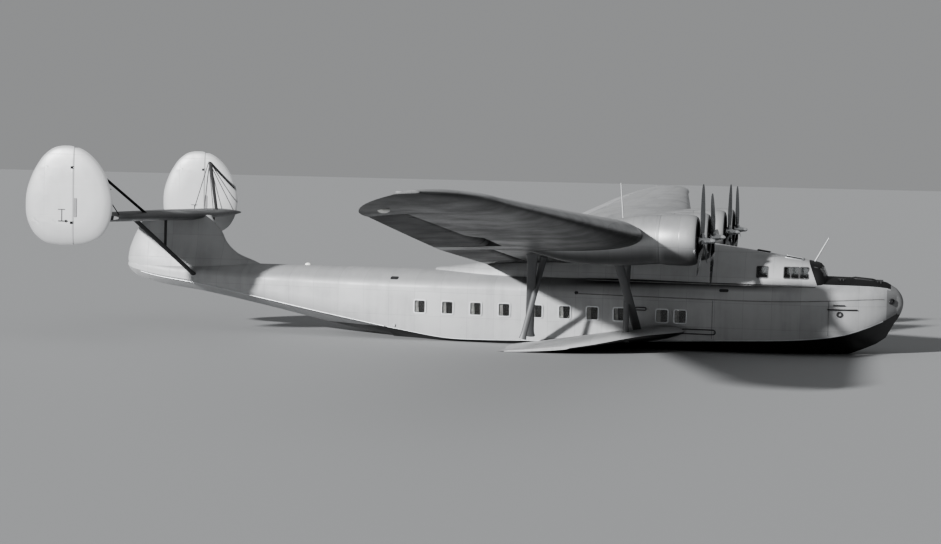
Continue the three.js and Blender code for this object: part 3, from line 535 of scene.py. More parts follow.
def hull_half(keel, chine, chine_y, side_y, knuckle, shoulder, shoulder_y, deck):
    half = [(0, keel)]
    for i in range(1, BOTTOM_STEPS + 1):
        t = i / BOTTOM_STEPS
        half.append((chine_y * t, mix(keel, chine, t - BOTTOM_HOLLOW * t * (1 - t))))
    for share in SIDE_SHARES:
        half.append((mix(chine_y, side_y, min(1, share / SIDE_FLARE)), mix(chine, knuckle, share)))
    for along, rise in SHOULDER_CURVE:
        half.append((mix(side_y, shoulder_y, along), mix(knuckle, shoulder, rise)))
    bend_y = shoulder_y - (half[-1][0] - shoulder_y) * (deck - shoulder) / (shoulder - half[-1][1])
    for i in range(CROWN_STEPS + 1):
        t = i / CROWN_STEPS
        half.append(((1 - t) ** 2 * shoulder_y + 2 * t * (1 - t) * max(bend_y, FLATTEST_CROWN * shoulder_y),
                     (1 - t) ** 2 * shoulder + (1 - (1 - t) ** 2) * deck))
    return half


def hull_ring(x, values, scale=1.0, centre=0.0):
    half = [(y * scale, centre + (z - centre) * scale) for y, z in hull_half(*values)]
    return [place(x, y, z) for y, z in half] + [place(x, -y, z) for y, z in reversed(half[1:-1])]


print("stations drawn", sum(len(lines) for lines in HULL_LINES))

# %% [markdown]
# The bow and the stern close in a rounded cap, as the real sheets do over a beaten nose piece.
# Filling the last ring flat would leave a disc. The cap is a few more rings that shrink towards the tip,
# slowly at first and fast at the last, which is the way a ball closes.

# %% Hull skin
NOSE_RINGS, SMALLEST_RING, HULL_SMOOTH = 9, 0.02, 28


def rounded_end(row, tip):
    rings = []
    for i in range(1, NOSE_RINGS + 1):
        along = 1 - (1 - i / NOSE_RINGS) ** 2
        x = mix(row[0], tip[0], along)
        rings.append(hull_ring(x, row[1:], max(sqrt(1 - along), SMALLEST_RING), tip[1]))
    return rings


def hull_values(x):
    for lines in HULL_LINES:
        if lines[-1][0] <= x <= lines[0][0]:
            return faired(lines, [x])[0]
    fore, aft = HULL_LINES[0], HULL_LINES[-1]
    return faired(fore, [min(x, fore[0][0])])[0] if x > 0 else faired(aft, [max(x, aft[-1][0])])[0]


hull_rings = []
for lines in HULL_LINES:
    stations = spaced(lines[0][0], lines[-1][0], STATION_STEP)
    hull_rings += [hull_ring(x, values) for x, values in zip(stations, faired(lines, stations))]
hull_rings = rounded_end(HULL_LINES[0][0], BOW_TIP)[::-1] + hull_rings + rounded_end(HULL_LINES[-1][-1], STERN_TIP)
hull_skin = fit(loft("hull_skin", hull_rings, HULL_SMOOTH), "airframe", hull_metal, "hull")
print("hull rings", len(hull_rings), "faces", len(hull_skin.data.polygons))

# %% [markdown]
# Below the chine the hull is black, and so is the deck in front of the windscreen, so that it throws no glare.
# Both edges lie on rows of the loft, so the paint is given to whole faces and its edge is as sharp as masked paint.
# Behind the second step the black runs out level, so the skin is first cut there by one flat plane.

# %% Paint on the hull
PAINT_END_Z, PAINT_TURN_X, PAINT_END_X = 1.27, -5.64, -8.4
DECK_PAINT, DECK_PAINT_RISE = (8.77, 11.12), 0.36
NEAR_DECK_CUT, ABOVE_SIDES, BELOW_SIDES, CHINE_EDGE = 0.4, 3, 2.2, 0.002
NOSE_BAND_X = 11.10


def cut_skin(piece, plane_point, plane_normal, wanted):
    """Cuts only the faces whose middle is wanted, so that an edge runs along the plane there."""
    edit_where(piece, lambda face: wanted(*on_drawing(face.center)))
    bpy.ops.mesh.bisect(plane_co=plane_point, plane_no=plane_normal)
    bpy.ops.object.mode_set(mode="OBJECT")


def below_chine(x, y, z, normal):
    return z < hull_values(x)[CHINE] - CHINE_EDGE if x > PAINT_TURN_X else z < PAINT_END_Z


def on_bow_deck(x, y, z, normal):
    values = hull_values(x)
    return DECK_PAINT[0] < x < DECK_PAINT[1] and z > mix(values[SHOULDER], values[DECK], DECK_PAINT_RISE)


cut_skin(hull_skin, place(0, 0, PAINT_END_Z), (0, 0, 1),
         lambda x, y, z: PAINT_END_X < x < PAINT_TURN_X and z < BELOW_SIDES)
for cut_x in DECK_PAINT:
    cut_skin(hull_skin, place(cut_x, 0, 0), (1, 0, 0),
             lambda x, y, z: abs(x - cut_x) < NEAR_DECK_CUT and z > ABOVE_SIDES)
painted(hull_skin, bottom_black, below_chine)
painted(hull_skin, deck_black, on_bow_deck)
painted(hull_skin, nose_band, lambda x, y, z, normal: x > NOSE_BAND_X and z > hull_values(x)[CHINE])
painted_faces = sum(face.material_index > 0 for face in hull_skin.data.polygons)
print("painted faces", painted_faces, "of", len(hull_skin.data.polygons))

# %% [markdown]
# Between the deckhouse and the knuckle runs a gutter that lies in shade, and it is given painted shade. It has no
# edge, so paint given face by face would be wrong. Each point of the hull gets a share instead, full in the gutter
# and none away from it, and the hull's finish darkens by that share.

# %% Painted shade in the gutter beside the deckhouse
GUTTER_X = ((0.2, 0), (1.8, 1), (6.6, 1), (8.6, 0))
GUTTER_RISE = (-0.55, 0.0)


def gutter_shade_share(point):
    x, y, z = on_drawing(point)
    values = hull_values(x)
    rise = (z - values[SHOULDER]) / (values[DECK] - values[SHOULDER])
    return float(np.interp(x, *zip(*GUTTER_X)) * np.interp(rise, GUTTER_RISE, (0, 1)))


mask = hull_skin.data.attributes.new(PAINTED_SHADE, "FLOAT", "POINT")
shares = [gutter_shade_share(vertex.co) for vertex in hull_skin.data.vertices]
mask.data.foreach_set("value", shares)
print("points in the gutter", sum(share > 0.5 for share in shares))

# %% [markdown]
# Small parts need plain finishes: glass, rubbed window frames, dark and bright fittings, cloth and lamp lenses.
# A flat colour would look like plastic, so each plain finish still takes the boat's weathering, only finer.

# %% Glass, frames and cabin finishes
GLASS_ROUGHNESS, GLASS_INDEX = 0.04, 1.45


def plain_finish(name, colour, roughness, metallic=0.0, grain=0.15, scale=6.0, coat=0.0):
    material = bpy.data.materials.new(name)
    material.use_nodes = True
    tree = material.node_tree
    shader = tree.nodes["Principled BSDF"]
    where = add_node(tree, "TexCoord").outputs["Object"]
    worn = add_node(tree, "Group", {"node_tree": weathering}, Place=where)
    worn.inputs["Patch Scale"].default_value = scale
    colour_mix = add_node(tree, "Mix", {"data_type": "RGBA"}, i0=worn.outputs["Patches"])
    colour_mix.inputs[6].default_value = (*colour, 1)
    colour_mix.inputs[7].default_value = (*[c * (1 - grain) for c in colour], 1)
    tree.links.new(colour_mix.outputs[2], shader.inputs["Base Color"])
    rough = add_node(tree, "MapRange", i0=worn.outputs["Grain"], i1=0.0, i2=1.0, i3=roughness, i4=roughness + 0.1)
    tree.links.new(rough.outputs[0], shader.inputs["Roughness"])
    relief = add_node(tree, "Bump", Height=worn.outputs["Grain"], Strength=0.3, Distance=0.0006)
    tree.links.new(relief.outputs[0], shader.inputs["Normal"])
    shader.inputs["Metallic"].default_value = metallic
    shader.inputs["Coat Weight"].default_value = coat
    return material


def glass_finish(name, tint):
    material = plain_finish(name, tint, GLASS_ROUGHNESS, grain=0.06)
    shader = material.node_tree.nodes["Principled BSDF"]
    shader.inputs["Transmission Weight"].default_value = 1.0
    shader.inputs["IOR"].default_value = GLASS_INDEX
    return material


window_glass = glass_finish("window_glass", (0.76, 0.77, 0.77))
# Near black, as painted shade: the lining stands for the unlit cabin and the shaded walls of each cut.
cabin_lining_painted_shade = plain_finish("cabin_lining_painted_shade", (0.05, 0.048, 0.045), 0.8)
frame_metal = plain_finish("frame_metal", (0.50, 0.51, 0.52), 0.36, metallic=0.8)
dark_fitting = plain_finish("dark_fitting", (0.035, 0.035, 0.037), 0.5, grain=0.4)
bright_fitting = plain_finish("bright_fitting", (0.74, 0.75, 0.76), 0.25, metallic=0.9)
curtain_cloth = plain_finish("curtain_cloth", (0.88, 0.87, 0.85), 0.9, grain=0.3, scale=30.0)
grey_fitting = plain_finish("grey_fitting", (0.22, 0.22, 0.225), 0.5)
frame_grey = plain_finish("frame_grey", (0.09, 0.09, 0.092), 0.5, grain=0.4)
# Near black, as painted shade for the hollow ahead of a hinged surface.
slot_painted_shade = plain_finish("slot_painted_shade", (0.012, 0.012, 0.013), 0.8)
lamp_lens = plain_finish("lamp_lens", (0.80, 0.80, 0.77), 0.18, grain=0.05, coat=0.6)
print("finishes in all", len(bpy.data.materials))

# %% [markdown]
# Windows, vents, hatches and cleats all start as small boxes. Each is drawn flat on the plane y = 0, where its
# corners are easy to bevel and its rim to inset. Then it is pressed onto the curved side, point by point.
# Drawn in place, each would have to be turned to its own slope and would still stand off at its corners.

# %% Pieces pressed onto a side
CORNER_STEPS, SQUARE_ON = 4, 0.99


def hull_side(x, z):
    """The hull's half-beam at a height, on the drawing."""
    half = hull_half(*hull_values(x))
    side = half[BOTTOM_STEPS:]
    return float(np.interp(z, [height for _, height in side], [y for y, _ in side]))


def rounded_box(name, x, z, width, height, depth, corner):
    """A box with its long edges rounded, flat on the plane y = 0, before it is pressed onto a side."""
    deselect_all()
    bpy.ops.mesh.primitive_cube_add(size=1, location=(x * MODEL_SCALE, 0, (z - WATERLINE) * MODEL_SCALE))
    piece = bpy.context.object
    piece.name = piece.data.name = name
    piece.scale = (width * MODEL_SCALE, depth * MODEL_SCALE, height * MODEL_SCALE)
    bpy.ops.object.transform_apply(location=True, rotation=True, scale=True)

    def runs_through(edge):
        start, end = (piece.data.vertices[i].co for i in edge.vertices)
        return abs((start - end).normalized().y) > SQUARE_ON

    edit_where(piece, runs_through, "EDGE")
    bpy.ops.mesh.bevel(offset=corner * MODEL_SCALE, segments=CORNER_STEPS, affect="EDGES")
    bpy.ops.object.mode_set(mode="OBJECT")
    return piece


def opened(piece, rim):
    """Turns a box into a frame: its front and back are inset by the rim and bridged through."""
    edit_where(piece, lambda face: abs(face.normal.y) > SQUARE_ON)
    bpy.ops.mesh.inset(thickness=rim * MODEL_SCALE, use_individual=True)
    bpy.ops.mesh.bridge_edge_loops()
    return face_outward(piece)


def pressed_on(piece, sign, side_at=hull_side):
    """Moves each point out to the side there: its own y is kept as its height above the skin."""
    for vertex in piece.data.vertices:
        x, y, z = on_drawing(vertex.co)
        vertex.co.y = sign * (side_at(x, z) * MODEL_SCALE + vertex.co.y)
    return face_outward(piece, SMOOTH_ANGLE)


print("half-beam beside the main step", round(hull_side(0, 2), 3))

# %% [markdown]
# What repeats is modelled once and copied, each copy with its own mesh, and a set of alike pieces is joined.
# An opening is cut with a Boolean, as with a saw: drawn into the loft, it would bend every row around it.
# Its thin new faces would shade badly, so normals are then weighted by face size, and the sheet stays flat.

# %% Copies and cut-outs
CUT_ANGLE = 30


def copied(piece, name, move=(0, 0, 0)):
    deselect_all()
    twin = piece.copy()
    twin.data = piece.data.copy()
    twin.name = twin.data.name = name
    bpy.context.collection.objects.link(twin)
    twin.data.transform(Matrix.Translation(move))
    return twin


def joined(group, name):
    deselect_all()
    for piece in group:
        piece.select_set(True)
    bpy.context.view_layer.objects.active = group[0]
    bpy.ops.object.join()
    group[0].name = group[0].data.name = name
    return group[0]


def cut_out(skin, cutter, lining):
    """Cuts the cutter's shape out of the skin; the walls of the cut take the lining."""
    cutter.data.materials.clear()
    cutter.data.materials.append(lining)
    take(skin)
    opening = skin.modifiers.new("opening", "BOOLEAN")
    opening.operation, opening.object, opening.solver = "DIFFERENCE", cutter, "EXACT"
    opening.material_mode = "TRANSFER"
    bpy.ops.object.modifier_apply(modifier=opening.name)
    bpy.data.objects.remove(cutter)


def even_normals(piece):
    """Marks a cut-out's new edges sharp, and keeps the sheet around it flat."""
    take(piece)
    bpy.ops.object.shade_smooth_by_angle(angle=radians(CUT_ANGLE))
    weighted = piece.modifiers.new("even", "WEIGHTED_NORMAL")
    weighted.keep_sharp = True
    bpy.ops.object.modifier_apply(modifier=weighted.name)


print("sharp above", CUT_ANGLE, "degrees at a cut")

# %% [markdown]
# A curtain is drawn back at the after edge of each cabin window: a strip of cloth, open at its edges.
# Cloth can be simulated, but a strip that hangs still is no more than its folds. They are drawn as a wave that
# runs along the hull's side, a little wider at the hem than at the rail.

# %% Curtains
WINDOW_Z = 2.02
CURTAIN_FROM, CURTAIN_WIDTH, CURTAIN_DEPTH, CURTAIN_DROP = -0.18, 0.14, 0.04, 0.40
FOLDS, FOLD_STEPS, FOLD_DEEP = 4, 8, 0.014
RAIL_SHARE, CLOTH_SMOOTH = 0.85, 60


def curtain(x, sign):
    rows = []
    rail_z = WINDOW_Z + CURTAIN_DROP / 2
    for z in spaced(rail_z, WINDOW_Z - CURTAIN_DROP / 2, 0.05):
        flare = mix(RAIL_SHARE, 1.0, (rail_z - z) / CURTAIN_DROP)
        row = []
        for i in range(FOLDS * FOLD_STEPS + 1):
            px = x + CURTAIN_FROM + CURTAIN_WIDTH * flare * i / (FOLDS * FOLD_STEPS)
            out = hull_side(px, z) - CURTAIN_DEPTH + FOLD_DEEP * sin(2 * pi * i / FOLD_STEPS)
            row.append(place(px, sign * out, z))
        rows.append(row)
    return loft("curtain", rows, CLOTH_SMOOTH, closed=False)


print("folds in each curtain", FOLDS)

# %% [markdown]
# Ten square windows light the cabin on each side. Each is a real opening: a rounded box is cut out of the skin,
# and a rubbed metal frame and a pane of glass go into it, over a near-black pocket, painted shade that reads as the
# unlit cabin.
# Frame, pane and box are made once, flat, then copied and pressed onto the hull's side, so they follow its taper.

# %% Cabin windows
CABIN_WINDOWS = (-4.41, -3.44, -2.46, -1.48, -0.38, 0.57, 1.50, 2.40, 3.81, 4.41)
WINDOW_WIDTH, WINDOW_HEIGHT, WINDOW_CORNER = 0.38, 0.42, 0.05
WINDOW_RIM, RIM_OVERLAP, RIM_DEPTH, POCKET_DEPTH = 0.035, 0.008, 0.05, 0.30
PANE_PLAY, PANE_SUNK = 0.004, 0.008

box_cut = rounded_box("window_cut", 0, WINDOW_Z, WINDOW_WIDTH, WINDOW_HEIGHT, POCKET_DEPTH, WINDOW_CORNER)
frame_ring = opened(rounded_box("window_frame", 0, WINDOW_Z, WINDOW_WIDTH + 2 * WINDOW_RIM,
                                WINDOW_HEIGHT + 2 * WINDOW_RIM, RIM_DEPTH, WINDOW_CORNER + WINDOW_RIM),
                    WINDOW_RIM + RIM_OVERLAP)
pane = rounded_box("window_pane", 0, WINDOW_Z, WINDOW_WIDTH - PANE_PLAY, WINDOW_HEIGHT - PANE_PLAY, 0.012,
                   WINDOW_CORNER)
for side, sign in SIDES:
    cuts, frames, panes = [], [], []
    for x in CABIN_WINDOWS:
        along = (x * MODEL_SCALE, 0, 0)
        cuts.append(pressed_on(copied(box_cut, "cut", along), sign))
        frames.append(pressed_on(copied(frame_ring, "frame", along), sign))
        panes.append(pressed_on(copied(pane, "pane", (along[0], -PANE_SUNK, 0)), sign))
    cut_out(hull_skin, joined(cuts, "cuts"), cabin_lining_painted_shade)
    fit(joined(frames, "cabin_frames_" + side), "airframe", frame_metal)
    fit(joined(panes, "cabin_panes_" + side), "airframe", window_glass)
    curtains = fit(joined([curtain(x, sign) for x in CABIN_WINDOWS], "curtains_" + side), "airframe", curtain_cloth)
for spare in (box_cut, frame_ring, pane):
    bpy.data.objects.remove(spare)
even_normals(hull_skin)
print("windows", 2 * len(CABIN_WINDOWS))

# %% [markdown]
# The deckhouse is a long low house that runs from the windscreen back under the wing and fades into the deck.
# A bevelled box would do for a house with straight walls, but here no two sections are alike, so it is a loft too.
# Each ring is an arch whose corners are filled out by taking its sine and cosine to a power below one.

# %% Deckhouse
HOUSE_LINES = [(9.06, 1.00, 3.40), (8.98, 1.08, 3.62), (8.85, 1.15, 3.84), (8.60, 1.21, 3.91), (7.60, 1.33, 4.07),
               (6.40, 1.38, 4.25), (5.20, 1.38, 4.42), (4.20, 1.36, 4.56), (3.20, 1.33, 4.64), (2.20, 1.30, 4.48),
               (0.60, 1.25, 4.20), (-0.80, 1.18, 3.88), (-1.60, 1.10, 3.72), (-2.40, .96, 3.56), (-3.20, .74, 3.42),
               (-4.20, .40, 3.30)]
HOUSE_FLOOR = 2.95
HOUSE_ROUND = 28
SIDE_POWER, ROOF_POWER = 0.62, 0.8


def house_ring(x, half_width, roof):
    ring = []
    for i in range(HOUSE_ROUND + 1):
        angle = pi * i / HOUSE_ROUND
        side = (1 if cos(angle) > 0 else -1) * abs(cos(angle)) ** SIDE_POWER
        ring.append(place(x, half_width * side, mix(HOUSE_FLOOR, roof, sin(angle) ** ROOF_POWER)))
    return ring


house_stations = spaced(9.06, 8.60, 0.05) + spaced(8.40, -4.20, 0.3)
house_rings = [house_ring(x, *values) for x, values in zip(house_stations, faired(HOUSE_LINES, house_stations))]
house_skin = fit(loft("deckhouse_skin", house_rings), "airframe", hull_metal, "superstructure")
print("deckhouse rings", len(house_rings))

# %% [markdown]
# The flight deck is a room inside the front of the deckhouse, so that the panes look into something.
# Panes laid on solid metal would look painted on. The room is a smaller loft on the same lines, cut out of the
# skin, and the openings are then cut through to it.

# %% Flight deck room
WALL = 0.09
ROOM_FROM, ROOM_TO, ROOM_FLOOR = 6.5, 8.90, 3.05

room_rings = []
floor_z = place(0, 0, ROOM_FLOOR).z
for x in spaced(ROOM_FROM, ROOM_TO, 0.15):
    half_width, roof = faired(HOUSE_LINES, [x])[0]
    ring = house_ring(x, half_width - WALL, roof - WALL)
    room_rings.append([Vector((point.x, point.y, max(point.z, floor_z))) for point in ring])
# The room's walls take the near-black lining, as painted shade.
cut_out(house_skin, loft("room", room_rings), cabin_lining_painted_shade)
print("room", round(ROOM_TO - ROOM_FROM, 2), "m long")

# %% [markdown]
# The front of the windscreen is black, and the paint ends at a post that slants back.
# The slant crosses the loft's rings, so the skin is cut along it first and the faces ahead of it are painted.

# %% Windscreen paint
SCREEN_POST, SCREEN_FROM, ON_CUT = ((8.47, 3.93), (8.74, 3.24)), 8.0, 0.0001

post_top, post_foot = (place(x, 0, z) for x, z in SCREEN_POST)
post_run = post_foot - post_top
post_normal = Vector((-post_run.z, 0, post_run.x)).normalized()
cut_skin(house_skin, post_top, post_normal, lambda x, y, z: x > SCREEN_FROM)
house_skin.data.materials.append(deck_black)
screen_slot = len(house_skin.data.materials) - 1
for face in house_skin.data.polygons:
    ahead = (face.center - post_top).dot(post_normal)
    if face.material_index == 0 and abs(ahead) > ON_CUT and ahead * post_normal.x > 0:
        face.material_index = screen_slot
print("black faces", sum(face.material_index == screen_slot for face in house_skin.data.polygons))

# %% [markdown]
# Four panes on each side and four across the front light the flight deck. They are pressed onto the deckhouse as
# the cabin's are onto the hull. The front's slope is met by looking forward instead of sideways: its place at a
# width and height is closed in on by halving, which needs no formula for the curve.

# %% Windows pressed onto the deckhouse
FRONT_SEARCH_X, HALVINGS = 8.3, 18


def house_side(x, z):
    half_width, roof = faired(HOUSE_LINES, [min(x, HOUSE_LINES[0][0])])[0]
    rise = min(1.0, max(0.0, (z - HOUSE_FLOOR) / (roof - HOUSE_FLOOR)) ** (1 / ROOF_POWER))
    return float(half_width * sqrt(1 - rise ** 2) ** SIDE_POWER)


def house_front(y, z):
    """How far forward the windscreen's slope is at that width and height."""
    back, front = FRONT_SEARCH_X, HOUSE_LINES[0][0]
    for _ in range(HALVINGS):
        middle = (back + front) / 2
        if house_side(middle, z) > abs(y):
            back = middle
        else:
            front = middle
    return back


def pressed_on_front(piece):
    """As pressed_on, for a piece drawn flat on the plane x = 0 that goes onto the windscreen's slope."""
    for vertex in piece.data.vertices:
        _, y, z = on_drawing(vertex.co)
        vertex.co.x += house_front(y, z) * MODEL_SCALE
    return face_outward(piece, SMOOTH_ANGLE)


def faced_forward(piece, y, z):
    """Turns a flat box about the vertical so that it faces forward, and moves it to its place on the slope."""
    piece.data.transform(Matrix.Translation(-place(0, 0, z)))
    piece.data.transform(Matrix.Rotation(pi / 2, 4, "Z"))
    piece.data.transform(Matrix.Translation(place(0, y, z)))
    return piece


print("windscreen's slope at its middle", round(house_front(0, 3.6), 2))

# %% [markdown]
# Each window is an opening, a frame and a pane that fits the opening with a little play. The cabin's windows
# were copied from one set; these differ in width, so one helper makes each from its own numbers.

# %% Flight deck windows
HOUSE_WINDOWS = ((7.80, 0.20), (8.05, 0.24), (8.345, 0.26), (7.0, 0.34))
HOUSE_WINDOW_Z, HOUSE_WINDOW_HEIGHT = 3.55, 0.34
FRONT_PANES = ((0.27, 0.42), (0.70, 0.32))
FRONT_Z, FRONT_HEIGHT = 3.60, 0.26
SURROUND, SURROUND_RIM = 0.05, 0.03


def glazed(x, z, width, height, depth, corner, frame_depth, frame_corner, set_on):
    """Cuts the opening, and gives the frame and the pane for it; set_on lays a flat piece on the deckhouse."""
    cut_out(house_skin, set_on(rounded_box("cut", x, z, width, height, depth, corner)), cabin_lining_painted_shade)
    surround = rounded_box("frame", x, z, width + SURROUND, height + SURROUND, frame_depth, frame_corner)
    surround = set_on(opened(surround, SURROUND_RIM))
    pane = rounded_box("pane", x, z, width - PANE_PLAY, height - PANE_PLAY, 0.016, corner)
    pane.data.transform(Matrix.Translation((0, -PANE_SUNK, 0)))
    return surround, set_on(pane)


glazing = []
for x, width in HOUSE_WINDOWS:
    for side, sign in SIDES:
        glazing.append(glazed(x, HOUSE_WINDOW_Z, width, HOUSE_WINDOW_HEIGHT, 0.3, 0.03, 0.04, 0.05,
                              lambda piece: pressed_on(piece, sign, house_side)))
for y, width in FRONT_PANES:
    for side, sign in SIDES:
        glazing.append(glazed(0, FRONT_Z, width, FRONT_HEIGHT, 0.36, 0.02, 0.03, 0.03,
                              lambda piece: pressed_on_front(faced_forward(piece, sign * y, FRONT_Z))))
frames, panes = zip(*glazing)
fit(joined(frames, "flight_deck_frames"), "airframe", frame_grey)
fit(joined(panes, "flight_deck_panes"), "airframe", window_glass)
even_normals(house_skin)
print("panes", len(panes))
print("deckhouse faces", len(house_skin.data.polygons))

# %% [markdown]
# The wing is set high on the deckhouse. Its section is a cambered one, thick at the root, and it thins outwards.
# One function gives any point of its surface, so wing, flap and aileron are cut from the same shape.

# %% Wing section
WING_ROOT = {"nose_x": 3.82, "tail_x": -2.35, "nose_z": 4.01, "thickness": 0.165, "incidence": 5.4}
WING_BREAK = {"nose_x": 3.82, "tail_x": -2.35, "nose_z": 4.81, "thickness": 0.165, "incidence": 5.4}
WING_OUTER = {"nose_x": 2.30, "tail_x": -1.10, "nose_z": 5.86, "thickness": 0.125, "incidence": 6.2}
BREAK_Y, TIP_START_Y, TIP_Y = 7.65, 20.5, 23.925
CAMBER, TIP_CENTRE, TIP_END, TIP_THICKNESS = 0.04, 0.46, 0.985, 0.115


def half_thickness(thickness, share):
    return 5 * thickness * (0.2969 * sqrt(share) - 0.126 * share - 0.3516 * share ** 2 + 0.2843 * share ** 3
                            - 0.0986 * share ** 4)


def wing_row(y):
    distance = abs(y)
    inner = distance < BREAK_Y
    start, end = (WING_ROOT, WING_BREAK) if inner else (WING_BREAK, WING_OUTER)
    first, last = (0, BREAK_Y) if inner else (BREAK_Y, TIP_START_Y)
    row = {key: mix(start[key], end[key], (distance - first) / (last - first)) for key in start}
    if distance > TIP_START_Y:
        along = min((distance - TIP_START_Y) / (TIP_Y - TIP_START_Y), TIP_END)
        shrink = sqrt(1 - along ** 2)
        middle = mix(WING_OUTER["nose_x"], WING_OUTER["tail_x"], TIP_CENTRE)
        row["nose_x"] = middle + (WING_OUTER["nose_x"] - middle) * shrink
        row["tail_x"] = middle + (WING_OUTER["tail_x"] - middle) * shrink
        row["thickness"] = max(row["thickness"], TIP_THICKNESS)
    row["chord"] = row["nose_x"] - row["tail_x"]
    return row


def wing_point(y, share, side):
    row = wing_row(y)
    rise = row["chord"] * (CAMBER * 4 * share * (1 - share) + side * half_thickness(row["thickness"], share))
    aft, tilt = row["chord"] * share, radians(row["incidence"])
    return Vector((row["nose_x"] - aft * cos(tilt) + rise * sin(tilt), y,
                   row["nose_z"] - aft * sin(tilt) + rise * cos(tilt)))


print("chord at the root", round(wing_row(0)["chord"], 2))

# %% [markdown]
# A hinged surface has a round nose that turns inside a hollow in the fixed part. Both are rings of one section:
# the fixed ring ends in a hollow arc about the hinge, and the moving ring has a solid arc about it.
# First come the points they share: the hinge's place in each section, how thick it is there, and the arcs.

# %% Points about a hinge
SECTION_STEPS, ARC_STEPS = 30, 8
END_INSET = 0.030
NOSE_PROUD = 0.006
RUNNING_GAP = 0.012


def to_model(point):
    return place(point.x, point.y, point.z)


def share_at(surface, span, x):
    nose, tail = surface(span, 0, 0).x, surface(span, 1, 0).x
    return (nose - x) / (nose - tail)


def shares_between(start, end):
    return [mix(start, end, 0.5 - 0.5 * cos(pi * i / SECTION_STEPS)) for i in range(SECTION_STEPS + 1)]


def arc(centre, fore, rise, radius, start, end):
    return [centre + radius * (fore * cos(a) + rise * sin(a))
            for a in (mix(start, end, i / ARC_STEPS) for i in range(ARC_STEPS + 1))]


def hinge_frame(surface, span, hinge):
    (span_a, x_a), (span_b, x_b) = hinge
    start = surface(span_a, share_at(surface, span_a, x_a), 0)
    end = surface(span_b, share_at(surface, span_b, x_b), 0)
    centre = start.lerp(end, (span - span_a) / (span_b - span_a))
    share = share_at(surface, span, centre.x)
    top, under = surface(span, share, 1), surface(span, share, -1)
    rise = (top - under).normalized()
    along = (end - start).normalized()
    fore = rise.cross(along).normalized()
    if fore.x < 0:
        fore = -fore
    return centre, (top - under).length / 2, fore, rise


print("running gap", RUNNING_GAP)

# %% [markdown]
# A ring of the fixed part goes over the top to the nose and back, then up the hollow that faces the hinge.
# A ring of the moving part has a round nose that fills it. Cutting one solid along the hinge would leave no gap to
# turn in; two rings drawn about one axis keep the same gap at every angle.

# %% Rings of fixed and moving parts
SLOT_FOOT, RIB_FADE = -0.25, 0.4


def fixed_ring(surface, span, hinge=None, slot=0.0):
    """A slot sets the lower lip that much further forward, so that air and light pass below the hinge."""
    last = last_under = 1.0
    if hinge:
        centre, half, fore, rise = hinge_frame(surface, span, hinge)
        hollow = half + NOSE_PROUD + RUNNING_GAP
        ahead = sqrt(hollow ** 2 - half ** 2)
        last = share_at(surface, span, centre.x + ahead)
        last_under = share_at(surface, span, centre.x + ahead + slot)
    top = [surface(span, share, 1) for share in reversed(shares_between(0, last))]
    under = [surface(span, share, -1) for share in shares_between(0, last_under)[1:]]
    if hinge:
        reach = asin(half / hollow)
        wall = arc(centre, fore, rise, hollow, -reach if slot == 0 else SLOT_FOOT * reach, reach)[1:-1]
    else:
        wall = [under[-1].lerp(top[0], i / ARC_STEPS) for i in range(1, ARC_STEPS)]
    return [to_model(point) for point in top + under + wall]


def moving_ring(surface, span, hinge, notched=False, rib=0.0):
    centre, half, fore, rise = hinge_frame(surface, span, hinge)
    first = share_at(surface, span, centre.x - (NOTCH_DEPTH if notched else 0))
    square_nose = notched or first < 0
    shares = shares_between(max(first, 0), 1)
    lift = [rib * rise * sin(pi * i / SECTION_STEPS) ** RIB_FADE for i in range(1, SECTION_STEPS)]
    lift = [Vector()] + lift + [Vector()]
    top = [surface(span, share, 1) + up for share, up in zip(reversed(shares), lift)]
    under = [surface(span, share, -1) - up for share, up in zip(shares, lift)]
    if square_nose:
        nose = [top[-1].lerp(under[0], i / ARC_STEPS) for i in range(1, ARC_STEPS)]
    else:
        nose = arc(centre, fore, rise, half + NOSE_PROUD, pi / 2, -pi / 2)[1:-1]
    return [to_model(point) for point in top + nose + under]


print("points in a fixed ring", len(fixed_ring(wing_point, 1)))

# %% [markdown]
# A hinged surface hangs on brackets that reach out of the fixed part, and turns on a pin through each.
# It could be shown floating in its hollow, but a joint reads as real when what holds it can be seen. An arm is a
# short cylinder whose front faces are pulled out to the spar, and a notch in the moving nose clears it.

# %% Brackets and pins
BRACKET_WIDTH, BRACKET_EYE, BRACKET_PIN, NOTCH_DEPTH = 0.06, 0.04, 0.018, 0.062
NOTCH_HALF = BRACKET_WIDTH / 2 + RUNNING_GAP
NOTCH_LIP, ARM_ROOT, ARM_TURN, ARM_SHARE, PIN_PAST = .0002, .05, 0.7, 0.9, .02


def bracket_arm(reach):
    """An eye about the hinge, with an arm pulled out of its front faces to the spar."""
    deselect_all()
    bpy.ops.mesh.primitive_cylinder_add(vertices=24, radius=BRACKET_EYE * MODEL_SCALE,
                                        depth=BRACKET_WIDTH * MODEL_SCALE * ARM_SHARE, rotation=(pi / 2, 0, 0))
    arm = bpy.context.object
    bpy.ops.object.transform_apply(location=True, rotation=True, scale=True)
    edit_where(arm, lambda face: face.normal.x > ARM_TURN)
    bpy.ops.mesh.extrude_region_move(TRANSFORM_OT_translate={"value": (reach * MODEL_SCALE, 0, 0)})
    bpy.ops.transform.resize(value=(0, 1, 1))
    bpy.ops.object.mode_set(mode="OBJECT")
    return arm


def bracket_pin(_):
    deselect_all()
    length = 2 * (NOTCH_HALF + PIN_PAST) * MODEL_SCALE
    bpy.ops.mesh.primitive_cylinder_add(vertices=16, radius=BRACKET_PIN * MODEL_SCALE, depth=length,
                                        rotation=(pi / 2, 0, 0))
    bpy.ops.object.transform_apply(location=True, rotation=True, scale=True)
    return bpy.context.object


print("a notch is", round(2 * NOTCH_HALF, 3), "wide")

# %% [markdown]
# Flaps, ailerons, elevators and rudders are framed with ribs and covered with doped fabric, which lifts a little
# over each rib. The ribs could be bump in the finish, but they catch the light at the edge, so they are rings.

